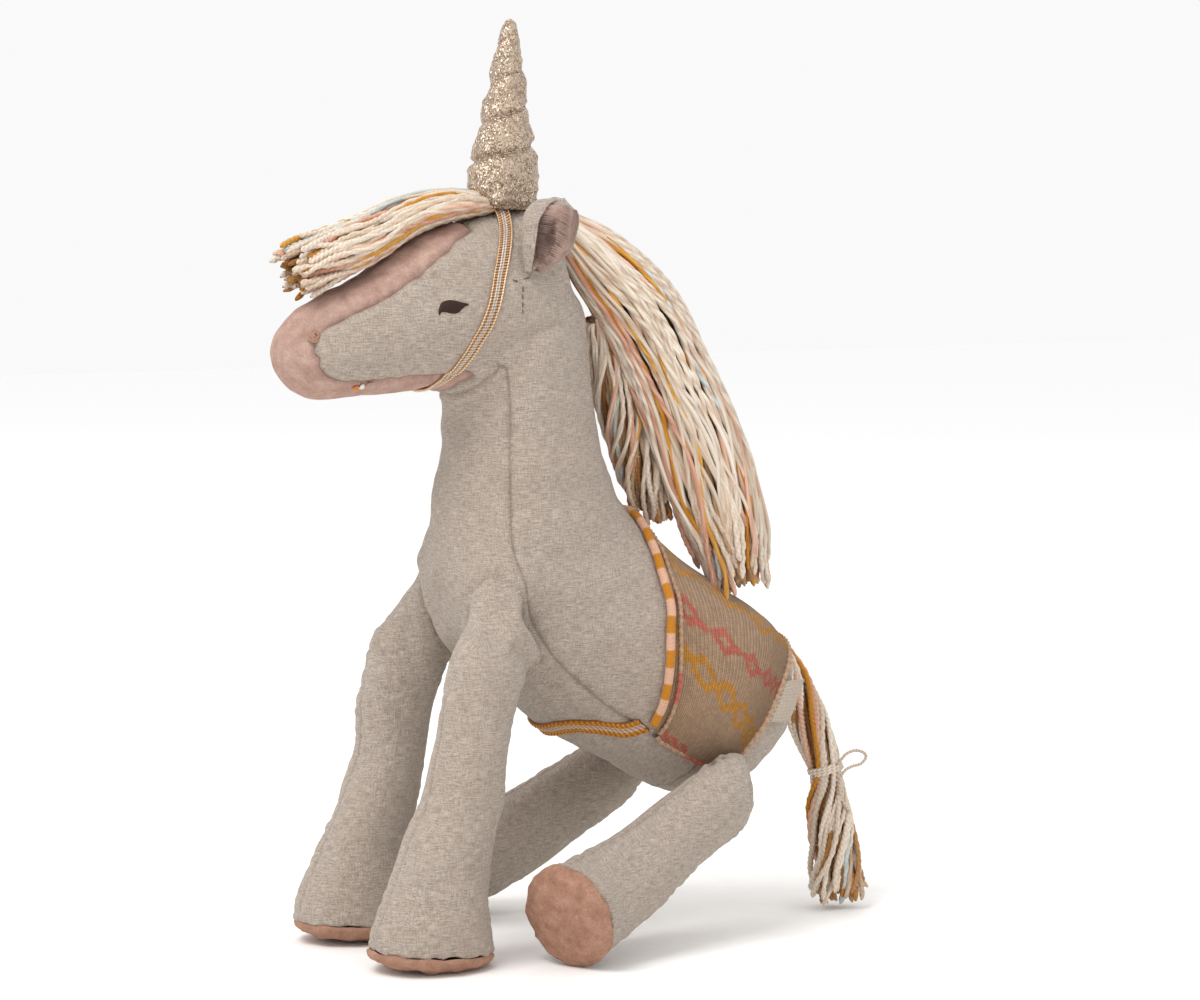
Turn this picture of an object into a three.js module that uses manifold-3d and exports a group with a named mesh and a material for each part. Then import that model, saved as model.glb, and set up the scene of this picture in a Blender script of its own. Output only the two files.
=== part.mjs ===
// A sitting plush unicorn of linen and velour, with a tied-on glitter horn, a yarn mane and a knitted
// saddle blanket. Millimetres, +Z up. The toy faces -Y and its left side is +X.
import * as THREE from 'three';
import { mergeVertices } from 'three/addons/utils/BufferGeometryUtils.js';
import Module from 'manifold-3d';

const wasm = await Module();
wasm.setup();

// ---------------------------------------------------------------- driving dimensions
const CENTRE_Y = -10.75;     // moves the toy along Y so that its outer box is centred on the origin
const CLOTH = 1.2;           // thickness of a sewn cloth skin
const GAP = 0.3;             // clearance between pieces that touch
const SEAM = 0.3;            // clearance between two panels along their seam

// A limb or body is a row of sections along its middle line: [x, y, z, half width, half depth].
const TORSO = {
  rows: [
    [0, 65, 76, 34, 36], [0, 48, 86.5, 36, 37.5], [0, 22.5, 102, 36, 38.5], [0, 0, 125, 32, 40],
    [0, -7, 150, 28.5, 35], [0, -8.5, 172, 26, 30], [0, -9, 195, 25, 27.5], [0, -8, 212, 23.5, 25],
  ],
  startCap: 30, endCap: 14, steps: 13, sides: 14,
};
const HEAD = {
  rows: [
    [0, -8, 224, 22, 24], [0, -30, 216, 25, 29], [0, -50, 211, 24, 25.5], [0, -68, 206, 21.5, 21],
    [0, -83, 202, 19, 18.5],
  ],
  startCap: 17, endCap: 17, steps: 7, sides: 14,
};
const FRONT_LEG = {
  rows: [
    [30.5, -30, 109, 3.5, 8], [30.3, -31.8, 100, 6.5, 11], [29, -37, 84, 11, 12.5],
    [28.3, -44.5, 58, 12.5, 13.3], [28, -52, 34, 14.5, 15.7], [27.8, -56, 16, 17, 20],
    [27.6, -56.8, 5, 17.6, 22],
  ],
  startCap: 4, endCap: 0, steps: 7, sides: 10,
};
const HIND_LEG = {
  rows: [
    [36, 60, 52, 3.5, 8], [36.5, 52, 49, 7, 11.5], [38, 38, 41.5, 11.5, 13.2],
    [40.5, 18.5, 30.5, 13, 14], [44.3, -1.5, 21.2, 15.4, 16.2], [50.5, -17.5, 17.1, 17.8, 17.8],
  ],
  startCap: 5, endCap: 0, steps: 6, sides: 10,
};
const SOLE_THICK = 5.6;      // height of a domed foot sole
const SHOULDER = [31, -30, 106];
const HIP = [36, 58, 51];

const HORN = { centre: [0, -14.6, 251], tilt: -3, height: 59.6, wall: 0.8, turns: 4.6, threadR: 0.45 };
const HORN_OUTLINE = [       // [radius, height] up the outside of the horn
  [10.6, 0], [11.8, 1.6], [12, 4.5], [11.2, 11], [9, 21], [7.2, 32], [5.2, 44], [3.4, 53], [1.8, 58.2],
];
const GUSSET_WIDTHS = [24, 26, 26, 25, 23.5, 21, 20, 15];   // half width of the under gusset by section
const BLANKET = { top: 0.39, side: 0.20, rearTop: -0.34, rearSide: -0.14, low: -42, thick: 1.6, lift: 1.1 };
const PIPING_R = 1.5;
const LABEL = { low: -6, high: 24, reach: 0.24, thick: 0.5, lift: 1.6 };
const GIRTH = { width: 6.3, thick: 1.3, lift: 0.7 };
const HORN_BAND = { width: 4.4, thick: 1, lift: 0.7 };

// Hair locks, as rows like the limbs.
const MANE_UPPER = {
  rows: [
    [1, 9.5, 244.5, 7, 5], [4, 22.5, 229, 10, 9.5], [8, 35, 209.5, 11, 13.5], [9.5, 47, 188.6, 11, 15],
    [10, 57, 167.7, 11, 15.5], [11, 66.5, 146, 10.5, 14.5], [12, 75, 128, 7.5, 10.5],
  ],
  startCap: 3, endCap: 3, steps: 9, sides: 10,
};
const MANE_LOWER = {
  rows: [
    [0, 20.5, 206, 5, 2], [0, 27, 190, 7, 3.4], [0, 32.5, 172, 8, 4], [0, 40, 156, 6, 3.5],
  ],
  startCap: 2, endCap: 3, steps: 5, sides: 8,
};
const FORELOCK = {
  rows: [
    [-1, -30.5, 251, 8, 3.6], [-1, -40, 249.6, 10, 4.8], [-1, -52, 246, 11.5, 6], [-1, -65, 240, 12.5, 7.4],
    [-1, -79, 233.5, 13, 8], [-1, -94, 228, 11, 7],
  ],
  startCap: 1.5, endCap: 4, steps: 7, sides: 10,
};
const TAIL = {
  rows: [
    [0, 101, 90, 4, 4], [3, 104, 73.5, 6.5, 6.5], [6, 108.5, 57.5, 6.5, 6.5], [8, 111, 41.5, 5, 5],
    [10, 110, 24, 7.5, 8.5], [11, 110.5, 9, 9, 11.5], [11.5, 110.5, 2, 9, 11],
  ],
  startCap: 3, endCap: 1.5, steps: 10, sides: 10,
};
const TIE = { at: 0.5, clear: 0.35, r: 1.1 };
const TIE_END = [            // the free end of the tail's tie: out in a small loop, back, and down
  [12.5, 113.5, 46], [12.8, 117, 49.5], [13, 121, 53.4], [13.2, 124.6, 54], [13.4, 126.3, 51.2],
  [13.6, 124, 48.6], [14.2, 120, 47.2], [14.8, 118, 44], [15, 118.6, 39], [15.2, 120.6, 34], [15.4, 122, 30],
];
const TIE_END_R = 0.6;

// ---------------------------------------------------------------- colours and surfaces
const COLOURS = {
  linen: 0xb9ab9a, velour: 0xbe9684, filling: 0xf1efe9, thread: 0x6e5a48, eye: 0x3b1c10,
  knot: 0xc58568, glitter: 0xc4a17c, lurex: 0xcfb08a, yarn: 0xe0cdb4, knit: 0xb39377,
  piping: 0xc98332, girth: 0xc07f1e, label: 0xa39584,
};
const group = new THREE.Group();
group.position.y = CENTRE_Y;

function add(name, geometry, slot, metalness = 0) {
  const roughness = metalness > 0 ? 0.45 : 0.9;
  const material = new THREE.MeshStandardMaterial({ color: COLOURS[slot], roughness, metalness });
  const mesh = new THREE.Mesh(geometry, material);
  mesh.name = name;
  group.add(mesh);
  return mesh;
}

// ---------------------------------------------------------------- solids
function toSolid(geometry) {
  const bare = geometry.clone();
  bare.deleteAttribute('normal');
  bare.deleteAttribute('uv');
  const merged = mergeVertices(bare, 1e-4);
  const vertProperties = new Float32Array(merged.attributes.position.array);
  const triVerts = new Uint32Array(merged.index.array);
  return new wasm.Manifold(new wasm.Mesh({ numProp: 3, vertProperties, triVerts }));
}

function toGeometry(solid) {
  const mesh = solid.getMesh();
  const geometry = new THREE.BufferGeometry();
  geometry.setAttribute('position', new THREE.BufferAttribute(mesh.vertProperties, 3));
  geometry.setIndex(new THREE.BufferAttribute(mesh.triVerts, 1));
  geometry.computeVertexNormals();
  return geometry;
}

/** Joins rings of points into a closed solid. Every ring has the same number of points. */
function skin(rings) {
  const sides = rings[0].length;
  const points = rings.flat();
  const index = [];
  for (let r = 0; r + 1 < rings.length; r += 1) {
    for (let s = 0; s < sides; s += 1) {
      const a = r * sides + s;
      const b = r * sides + (s + 1) % sides;
      index.push(a, b, b + sides, a, b + sides, a + sides);
    }
  }
  for (const last of [false, true]) {
    const base = last ? (rings.length - 1) * sides : 0;
    const middle = new THREE.Vector3();
    points.slice(base, base + sides).forEach((p) => middle.addScaledVector(p, 1 / sides));
    const hub = points.length;
    points.push(middle);
    for (let s = 0; s < sides; s += 1) {
      const a = base + s;
      const b = base + (s + 1) % sides;
      index.push(...(last ? [a, b, hub] : [b, a, hub]));
    }
  }
  const geometry = new THREE.BufferGeometry().setFromPoints(points);
  geometry.setIndex(index);
  return geometry;
}

/** A smooth body through a row of elliptical sections, seen as a frame that moves along it. */
class Loft {
  constructor({ rows, startCap, endCap, steps, sides }) {
    Object.assign(this, { startCap, endCap, steps, sides });
    const places = rows.map((r) => new THREE.Vector3(r[0], r[1], r[2]));
    const sizes = rows.map((r) => new THREE.Vector3(r[3], r[4], 0));
    this.line = new THREE.CatmullRomCurve3(places, false, 'catmullrom');
    this.size = new THREE.CatmullRomCurve3(sizes, false, 'catmullrom');
  }

  /** t runs from 0 to 1 along the body, and past either end it goes round the end cap. */
  frameAt(t, inset = 0) {
    const inside = THREE.MathUtils.clamp(t, 0, 1);
    const centre = this.line.getPoint(inside);
    const along = this.line.getTangent(inside);
    const side = new THREE.Vector3(1, 0, 0);
    side.addScaledVector(along, -side.dot(along)).normalize();
    const up = along.clone().cross(side);
    const size = this.size.getPoint(inside);
    let shrink = 1;
    if (t !== inside) {
      const cap = (t < 0 ? this.startCap : this.endCap) - inset;
      const beyond = Math.min(Math.abs(t - inside), 1);
      centre.addScaledVector(along, Math.sign(t) * cap * beyond);
      shrink = Math.sqrt(1 - beyond * beyond);
    }
    return { centre, along, side, up, wide: (size.x - inset) * shrink, deep: (size.y - inset) * shrink };
  }

  pointAt(t, degrees, inset = 0) {
    const { centre, side, up, wide, deep } = this.frameAt(t, inset);
    const a = THREE.MathUtils.degToRad(degrees);
    return centre.addScaledVector(side, wide * Math.cos(a)).addScaledVector(up, deep * Math.sin(a));
  }

  stations() {
    const stations = [];
    const round = [0.95, 0.62];
    if (this.startCap > 0) stations.push(...round.map((v) => -v));
    for (let i = 0; i <= this.steps; i += 1) stations.push(i / this.steps);
    if (this.endCap > 0) stations.push(...round.toReversed().map((v) => 1 + v));
    return stations;
  }

  ring(t, inset) {
    const turn = 360 / this.sides;
    return Array.from({ length: this.sides }, (_, s) => this.pointAt(t, s * turn, inset));
  }

  geometry(inset = 0) {
    return skin(this.stations().map((t) => this.ring(t, inset)));
  }
}

/** A solid sheet: a grid of surface points (u and v from 0 to 1), thickened along its normals. */
function sheet(nu, nv, point, thick) {
  const step = 1e-3;
  const lower = [];
  const upper = [];
  for (let i = 0; i <= nu; i += 1) {
    for (let j = 0; j <= nv; j += 1) {
      const u = i / nu;
      const v = j / nv;
      const p = point(u, v);
      const du = point(u + step, v).sub(point(u - step, v));
      const dv = point(u, v + step).sub(point(u, v - step));
      const normal = du.cross(dv).normalize();
      lower.push(p);
      upper.push(p.clone().addScaledVector(normal, thick));
    }
  }
  const row = nv + 1;
  const top = lower.length;
  const index = [];
  for (let i = 0; i < nu; i += 1) {
    for (let j = 0; j < nv; j += 1) {
      const a = i * row + j;
      index.push(a, a + 1, a + row + 1, a, a + row + 1, a + row);
      index.push(top + a, top + a + row + 1, top + a + 1, top + a, top + a + row, top + a + row + 1);
    }
  }
  const rim = [];
  for (let i = 0; i <= nu; i += 1) rim.push(i * row);
  for (let j = 1; j <= nv; j += 1) rim.push(nu * row + j);
  for (let i = nu - 1; i >= 0; i -= 1) rim.push(i * row + nv);
  for (let j = nv - 1; j >= 1; j -= 1) rim.push(j);
  rim.forEach((a, k) => {
    const b = rim[(k + 1) % rim.length];
    index.push(a, b, top + b, a, top + b, top + a);
  });
  const geometry = new THREE.BufferGeometry().setFromPoints([...lower, ...upper]);
  geometry.setIndex(index);
  return geometry;
}

/** A box from its low corner to its high corner. */
function block(low, high) {
  const size = high.map((v, i) => v - low[i]);
  const middle = high.map((v, i) => (v + low[i]) / 2);
  return toSolid(new THREE.BoxGeometry(...size).translate(...middle));
}

/** A round cord along a curve. */
function cord(curve, radius, steps, sides) {
  const ring = Array.from({ length: sides }, (_, s) => {
    const a = (s / sides) * Math.PI * 2;
    return new THREE.Vector2(radius * Math.cos(a), radius * Math.sin(a));
  });
  return new THREE.ExtrudeGeometry(new THREE.Shape(ring), { steps, bevelEnabled: false, extrudePath: curve });
}

/** The same piece for the other side of the toy. */
function mirrored(geometry) {
  const other = geometry.clone().scale(-1, 1, 1);
  if (!other.index) other.setIndex(Array.from({ length: other.attributes.position.count }, (_, i) => i));
  const corners = other.index.array;
  for (let i = 0; i < corners.length; i += 3) [corners[i], corners[i + 1]] = [corners[i + 1], corners[i]];
  return other;
}

// ---------------------------------------------------------------- body and head
const torso = new Loft(TORSO);
const head = new Loft(HEAD);
const bodyShape = (inset) => toSolid(torso.geometry(inset)).add(toSolid(head.geometry(inset)));
const bodyOutside = bodyShape(0);
const bodySkin = bodyOutside.subtract(bodyShape(CLOTH));
add('body_stuffing', toGeometry(bodyShape(CLOTH + GAP)), 'filling');

/** A cutter that runs along a loft, from below its middle line to beyond one face, widths by section. */
function stripCutter(loft, widths, from, to, face, grow) {
  const rings = [];
  const count = 16;
  for (let i = 0; i <= count; i += 1) {
    const t = from + ((to - from) * i) / count;
    const { centre, side, up, deep } = loft.frameAt(t);
    const where = THREE.MathUtils.clamp(t, 0, 1) * (widths.length - 1);
    const low = Math.min(Math.floor(where), widths.length - 2);
    const half = THREE.MathUtils.lerp(widths[low], widths[low + 1], where - low) + grow;
    const reach = face * (Math.max(deep, 8) + 12);
    const corners = [[half, 0.2 * reach], [half, reach], [-half, reach], [-half, 0.2 * reach]];
    const order = face > 0 ? corners : corners.toReversed();
    rings.push(order.map(([x, y]) => centre.clone().addScaledVector(side, x).addScaledVector(up, y)));
  }
  return toSolid(skin(rings));
}

const BLAZE_WIDTHS = [7, 8, 13.5, 15.5, 15.5, 14, 13];      // half width of the velour blaze
const CHIN_WIDTHS = [14, 15.5, 15, 14, 14, 14, 14];         // half width of the velour chin strip
function velourRegion(grow) {
  const blaze = stripCutter(head, BLAZE_WIDTHS, 0.16, 1.6, 1, grow);
  const chin = stripCutter(head, CHIN_WIDTHS, 0.12, 1.6, -1, grow);
  const muzzle = head.frameAt(1.5 - grow * 0.03);
  const nose = new THREE.BoxGeometry(60, 60, 30).translate(0, 0, 15);
  nose.applyQuaternion(new THREE.Quaternion().setFromUnitVectors(new THREE.Vector3(0, 0, 1), muzzle.along));
  nose.translate(muzzle.centre.x, muzzle.centre.y, muzzle.centre.z);
  return blaze.add(chin).add(toSolid(nose)).intersect(block([-60, -140, 150], [60, 20, 270]));
}
const gussetRegion = (grow) => stripCutter(torso, GUSSET_WIDTHS, 0.04, 0.86, -1, grow);

/** Splits a cut skin into its pieces and keeps the largest, so that each panel is one body. */
function largest(solid) {
  return solid.decompose().sort((a, b) => b.volume() - a.volume())[0];
}
const headSkin = bodySkin.subtract(toSolid(torso.geometry(-0.2)));
add('face_blaze', toGeometry(largest(headSkin.intersect(velourRegion(0)))), 'velour');
const throat = toSolid(head.geometry(-SEAM));
add('under_gusset', toGeometry(largest(bodySkin.subtract(throat).intersect(gussetRegion(0)))), 'linen');
const sides = bodySkin.subtract(velourRegion(SEAM)).subtract(gussetRegion(SEAM));
const leftHalf = block([SEAM / 2, -150, 0], [80, 150, 300]);
const rightHalf = block([-80, -150, 0], [-SEAM / 2, 150, 300]);
add('side_panel_left', toGeometry(largest(sides.intersect(leftHalf))), 'linen');
add('side_panel_right', toGeometry(largest(sides.intersect(rightHalf))), 'linen');

// ---------------------------------------------------------------- face details
/** A small patch that follows a loft's surface, t and degrees given over u and v. */
function patch(loft, nu, nv, thick, lift, place) {
  return sheet(nu, nv, (u, v) => {
    const [t, degrees] = place(u, v);
    return loft.pointAt(t, degrees, -lift);
  }, thick);
}
/** The half-moon eye: flat below, arched above, pointed at both ends. */
const eye = patch(head, 8, 2, 0.9, 0.5, (u, v) => {
  const arch = 0.12 + Math.max(0, Math.sin(Math.PI * u)) ** 0.8;
  return [0.5 - 0.125 * u, 7.5 + (v - 0.35) * 10.5 * arch];
});
const knot = (t, degrees, r) => {
  const at = head.pointAt(t, degrees, -(r * 0.62 + GAP));
  const { side, up, wide, deep } = head.frameAt(t);
  const a = THREE.MathUtils.degToRad(degrees);
  const out = side.clone().multiplyScalar(Math.cos(a) / wide);
  out.addScaledVector(up, Math.sin(a) / deep).normalize();
  const ball = new THREE.SphereGeometry(r, 8, 6).scale(1, 1, 0.62);
  ball.applyQuaternion(new THREE.Quaternion().setFromUnitVectors(new THREE.Vector3(0, 0, 1), out));
  return ball.translate(at.x, at.y, at.z);
};
const pairs = [
  ['eye', eye, 'eye'],
  ['nostril', knot(1.42, 24, 2.1), 'knot'],
  ['mouth_knot', knot(0.93, -43, 1.1), 'knot'],
];

// Ears: a cupped linen leaf with a velour lining inside it.
const EAR = {
  cup: 8.4, foot: [25.6, -11, 229], lean: [-0.12, 0.46, 0.88], face: [0.86, -0.42, 0.28], tall: 25, wide: 9.4,
};
function earLeaf(width, tall, radius, thick) {
  const along = new THREE.Vector3(...EAR.lean).normalize();
  const face = new THREE.Vector3(...EAR.face);
  face.addScaledVector(along, -face.dot(along)).normalize();
  const across = along.clone().cross(face);
  const foot = new THREE.Vector3(...EAR.foot).addScaledVector(face, EAR.cup);
  return sheet(6, 4, (u, v) => {
    const half = width * (0.42 + 0.58 * Math.sin(Math.PI * Math.min(0.12 + u * 0.8, 1)) ** 0.7);
    const a = ((2 * v - 1) * half) / radius;
    const out = -radius * Math.cos(a);
    return foot.clone().addScaledVector(along, 1.2 + u * tall).addScaledVector(face, out)
      .addScaledVector(across, radius * Math.sin(a));
  }, thick);
}
pairs.push(['ear_outer', earLeaf(EAR.wide, EAR.tall, EAR.cup, 1), 'linen']);
pairs.push(['ear_lining', earLeaf(EAR.wide - 1, EAR.tall - 1.5, EAR.cup - 1.3, 0.9), 'velour']);

// ---------------------------------------------------------------- legs
const bodyClear = bodyShape(-GAP);
for (const [name, rows] of [['front_leg', FRONT_LEG], ['hind_leg', HIND_LEG]]) {
  const leg = new Loft(rows);
  const outside = toSolid(leg.geometry());
  const foot = leg.frameAt(1);
  const inner = new Loft({ ...rows, startCap: rows.startCap, endCap: 6 });
  const cloth = outside.subtract(toSolid(inner.geometry(CLOTH))).subtract(bodyClear);
  pairs.push([`${name}_skin`, toGeometry(largest(cloth)), 'linen']);
  const sock = toSolid(leg.geometry(CLOTH + GAP));
  const cut = new THREE.BoxGeometry(80, 80, 20).translate(0, 0, 10 - 1.6);
  cut.applyQuaternion(new THREE.Quaternion().setFromUnitVectors(new THREE.Vector3(0, 0, 1), foot.along));
  cut.translate(foot.centre.x, foot.centre.y, foot.centre.z);
  pairs.push([`${name}_stuffing`, toGeometry(sock.subtract(toSolid(cut)).subtract(bodyClear)), 'filling']);
  const shrink = [0, 0.35, 1.4, 3.6];
  const drop = [0.3, 2.2, 3.8, SOLE_THICK];
  const rings = shrink.map((inset, i) => {
    const turn = 360 / rows.sides;
    const ring = Array.from({ length: rows.sides }, (_, s) => leg.pointAt(1, s * turn, inset));
    return ring.map((point) => point.addScaledVector(foot.along, drop[i]));
  });
  const sole = toSolid(skin(rings)).subtract(block([-120, -120, -20], [120, 120, 0]));
  pairs.push([`${name}_sole`, toGeometry(sole), 'velour']);
}

// Stitches that hold each leg's flat top to the body seam.
const STITCH = { inboard: 6.4, r: 0.5, step: 1.7, drop: 0.6 };
for (const [name, at, rise] of [['shoulder', SHOULDER, 5], ['hip', HIP, -2]]) {
  const points = [-2, -1, 0, 1, 2].map((i) => new THREE.Vector3(
    at[0] - STITCH.inboard, at[1] + i * STITCH.step, at[2] + rise - i * STITCH.drop));
  const line = toSolid(cord(new THREE.CatmullRomCurve3(points), STITCH.r, 6, 6)).subtract(bodyClear);
  pairs.push([`${name}_stitches`, toGeometry(largest(line)), 'thread']);
}

for (const [name, geometry, slot] of pairs) {
  add(`${name}_left`, geometry, slot);
  add(`${name}_right`, mirrored(geometry), slot);
}

// ---------------------------------------------------------------- horn
const horn = new THREE.Group();
horn.position.set(...HORN.centre);
horn.rotation.x = THREE.MathUtils.degToRad(HORN.tilt);
group.add(horn);
function addToHorn(name, geometry, slot, metalness) {
  horn.add(add(name, geometry, slot, metalness));
}
const lathe = (profile, turns = 12) => {
  const points = profile.map(([r, z]) => new THREE.Vector2(r, z));
  return new THREE.LatheGeometry(points, turns).rotateX(Math.PI / 2);
};
const hornTip = [0, HORN.height];
const inward = (by) => HORN_OUTLINE.map(([r, z]) => [Math.max(r - by, 0.4), z]);
const coverInside = [...inward(HORN.wall).slice(0, -1), [0.5, HORN.height - 3.4], [0, HORN.height - 3]];
addToHorn('horn_cover', lathe([...coverInside.toReversed(), ...HORN_OUTLINE, hornTip]), 'glitter', 0.6);
const fillingSide = inward(HORN.wall + GAP).slice(1, -2);
const filling = lathe([[0, 1.9], [9.6, 1.9], ...fillingSide, [0, HORN.height - 9]]);
addToHorn('horn_stuffing', filling, 'filling');
addToHorn('horn_base', lathe([[0, 0.1], [9.3, 0.1], [9.3, 1.4], [0, 1.4]], 14), 'glitter', 0.6);
class Winding extends THREE.Curve {
  getPoint(t, target = new THREE.Vector3()) {
    const z = 4 + t * (HORN.height - 12);
    const above = HORN_OUTLINE.findIndex(([, height]) => height > z);
    const [[r0, z0], [r1, z1]] = [HORN_OUTLINE[above - 1], HORN_OUTLINE[above]];
    const r = r0 + ((r1 - r0) * (z - z0)) / (z1 - z0) + HORN.threadR + 2 * GAP;
    const a = t * HORN.turns * Math.PI * 2;
    return target.set(r * Math.cos(a), r * Math.sin(a), z);
  }
}
addToHorn('horn_winding', cord(new Winding(), HORN.threadR, 60, 3), 'thread');

/** A flat band that lies round a loft: t is given by the angle, and the band is measured along the loft. */
function band(loft, { width, thick, lift }, from, to, count, place) {
  return sheet(1, count, (u, v) => {
    const degrees = from + (to - from) * v;
    const { along } = loft.frameAt(place(degrees));
    return loft.pointAt(place(degrees), degrees, -lift).addScaledVector(along, (u - 0.5) * width);
  }, thick);
}
const bandPlace = (degrees) => 0.26 - 0.25 * Math.sin(THREE.MathUtils.degToRad(degrees));
add('horn_elastic', band(head, HORN_BAND, 56, -236, 28, bandPlace), 'lurex', 0.4);

// ---------------------------------------------------------------- hair
for (const [name, rows] of [['mane_upper', MANE_UPPER], ['mane_lower', MANE_LOWER], ['forelock', FORELOCK]]) {
  add(name, new Loft(rows).geometry(), 'yarn');
}
const tail = new Loft(TAIL);
add('tail', tail.geometry(), 'yarn');
const waist = tail.frameAt(TIE.at);
const tieInside = waist.wide + TIE.clear;
const tieOutside = tieInside + TIE.r;
const tieRing = lathe([
  [tieInside, -TIE.r], [tieOutside, -TIE.r], [tieOutside, TIE.r], [tieInside, TIE.r], [tieInside, -TIE.r],
], 14);
tieRing.applyQuaternion(new THREE.Quaternion().setFromUnitVectors(new THREE.Vector3(0, 0, 1), waist.along));
add('tail_tie_band', tieRing.translate(...waist.centre.toArray()), 'yarn');
const tieCurve = new THREE.CatmullRomCurve3(TIE_END.map((p) => new THREE.Vector3(...p)));
add('tail_tie_end', cord(tieCurve, TIE_END_R, 26, 8), 'yarn');

// ---------------------------------------------------------------- saddle blanket
const ease = (x) => x * x * (3 - 2 * x);
/** Where the blanket's front and rear edges lie along the torso, by the angle round it. */
const edgeMix = (degrees) => ease(Math.abs(degrees - 90) / (90 - BLANKET.low));
const frontEdge = (degrees) => THREE.MathUtils.lerp(BLANKET.top, BLANKET.side, edgeMix(degrees));
const rearEdge = (degrees) => THREE.MathUtils.lerp(BLANKET.rearTop, BLANKET.rearSide, edgeMix(degrees));
const lowCorner = (s) => 0.45 * Math.max(0, s - 0.62) ** 2 * 90;
const blanket = sheet(6, 18, (u, v) => {
  const low = BLANKET.low + lowCorner(u);
  const degrees = 90 + (2 * v - 1) * (90 - low);
  const t = THREE.MathUtils.lerp(frontEdge(degrees), rearEdge(degrees), u);
  return torso.pointAt(t, degrees, -BLANKET.lift);
}, BLANKET.thick);
add('blanket_knit', blanket, 'knit');
const pipePoints = Array.from({ length: 25 }, (_, i) => {
  const degrees = 90 + (2 * (i / 24) - 1) * (90 - BLANKET.low);
  const { along } = torso.frameAt(frontEdge(degrees));
  const onEdge = torso.pointAt(frontEdge(degrees), degrees, -(BLANKET.lift + PIPING_R));
  return onEdge.addScaledVector(along, PIPING_R + 2 * GAP);
});
add('blanket_piping', cord(new THREE.CatmullRomCurve3(pipePoints), PIPING_R, 30, 6), 'piping');
/** The girth runs a little further forward right under the belly. */
const girthPlace = (degrees) => {
  const under = Math.abs(Math.sin(THREE.MathUtils.degToRad(degrees)));
  return 0.215 + 0.06 * ease(Math.max(0, under - 0.6) / 0.4);
};
add('girth_elastic', band(torso, GIRTH, -46, -134, 18, girthPlace), 'girth');
add('blanket_label', patch(torso, 2, 4, LABEL.thick, LABEL.lift, (u, v) => {
  const degrees = LABEL.low + (LABEL.high - LABEL.low) * v;
  return [rearEdge(degrees) - 0.02 - LABEL.reach * u, degrees];
}), 'label');

export default group;
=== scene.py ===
"""The plush unicorn's visual model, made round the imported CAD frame.

Tables and shapes are in millimetres, in the same coordinates as the CAD source, and metres() turns them into
the row frame.
"""

import math

import bpy
import numpy as np
from mathutils import Matrix, Vector
from mathutils.bvhtree import BVHTree
from mathutils.kdtree import KDTree


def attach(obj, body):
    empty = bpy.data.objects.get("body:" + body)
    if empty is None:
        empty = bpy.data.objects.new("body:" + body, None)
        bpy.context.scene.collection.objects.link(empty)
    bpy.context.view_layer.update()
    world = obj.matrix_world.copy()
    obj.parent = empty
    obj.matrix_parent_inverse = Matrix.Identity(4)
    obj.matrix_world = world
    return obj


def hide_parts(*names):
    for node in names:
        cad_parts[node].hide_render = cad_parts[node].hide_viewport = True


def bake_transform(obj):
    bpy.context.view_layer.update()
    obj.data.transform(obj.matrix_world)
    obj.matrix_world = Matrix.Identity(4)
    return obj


HANDS = ((1, "left"), (-1, "right"))
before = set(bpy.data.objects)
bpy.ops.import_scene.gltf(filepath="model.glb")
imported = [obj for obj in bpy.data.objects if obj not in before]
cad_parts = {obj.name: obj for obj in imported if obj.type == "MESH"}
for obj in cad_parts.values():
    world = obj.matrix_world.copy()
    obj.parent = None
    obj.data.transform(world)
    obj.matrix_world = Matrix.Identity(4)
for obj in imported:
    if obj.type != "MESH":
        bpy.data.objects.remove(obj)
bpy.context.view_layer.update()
CENTRE_Y = -10.75


def metres(points):
    return (np.asarray(points, float) + [0, CENTRE_Y, 0]) / 1000


def millimetres(points):
    return np.asarray(points, float) * 1000 - [0, CENTRE_Y, 0]


# ---------------------------------------------------------------- camera
AZIMUTH, ELEVATION, DISTANCE = math.radians(60), math.radians(5.4), 1.3
TARGET = Vector((0.010, 0.00655, 0.149))
level = math.cos(ELEVATION)
back = Vector((math.sin(AZIMUTH) * level, -math.cos(AZIMUTH) * level, math.sin(ELEVATION)))
right = Vector((math.cos(AZIMUTH), math.sin(AZIMUTH), 0))
camera = bpy.data.objects.new("Camera", bpy.data.cameras.new("Camera"))
camera.data.lens = 115.4
camera.data.sensor_width = 36
camera.data.sensor_fit = "HORIZONTAL"
camera.data.clip_start = 0.05
turn = Matrix((right, back.cross(right), back)).transposed()
camera.matrix_world = Matrix.Translation(TARGET + back * DISTANCE) @ turn.to_4x4()
bpy.context.scene.collection.objects.link(camera)
bpy.context.scene.camera = camera


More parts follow.
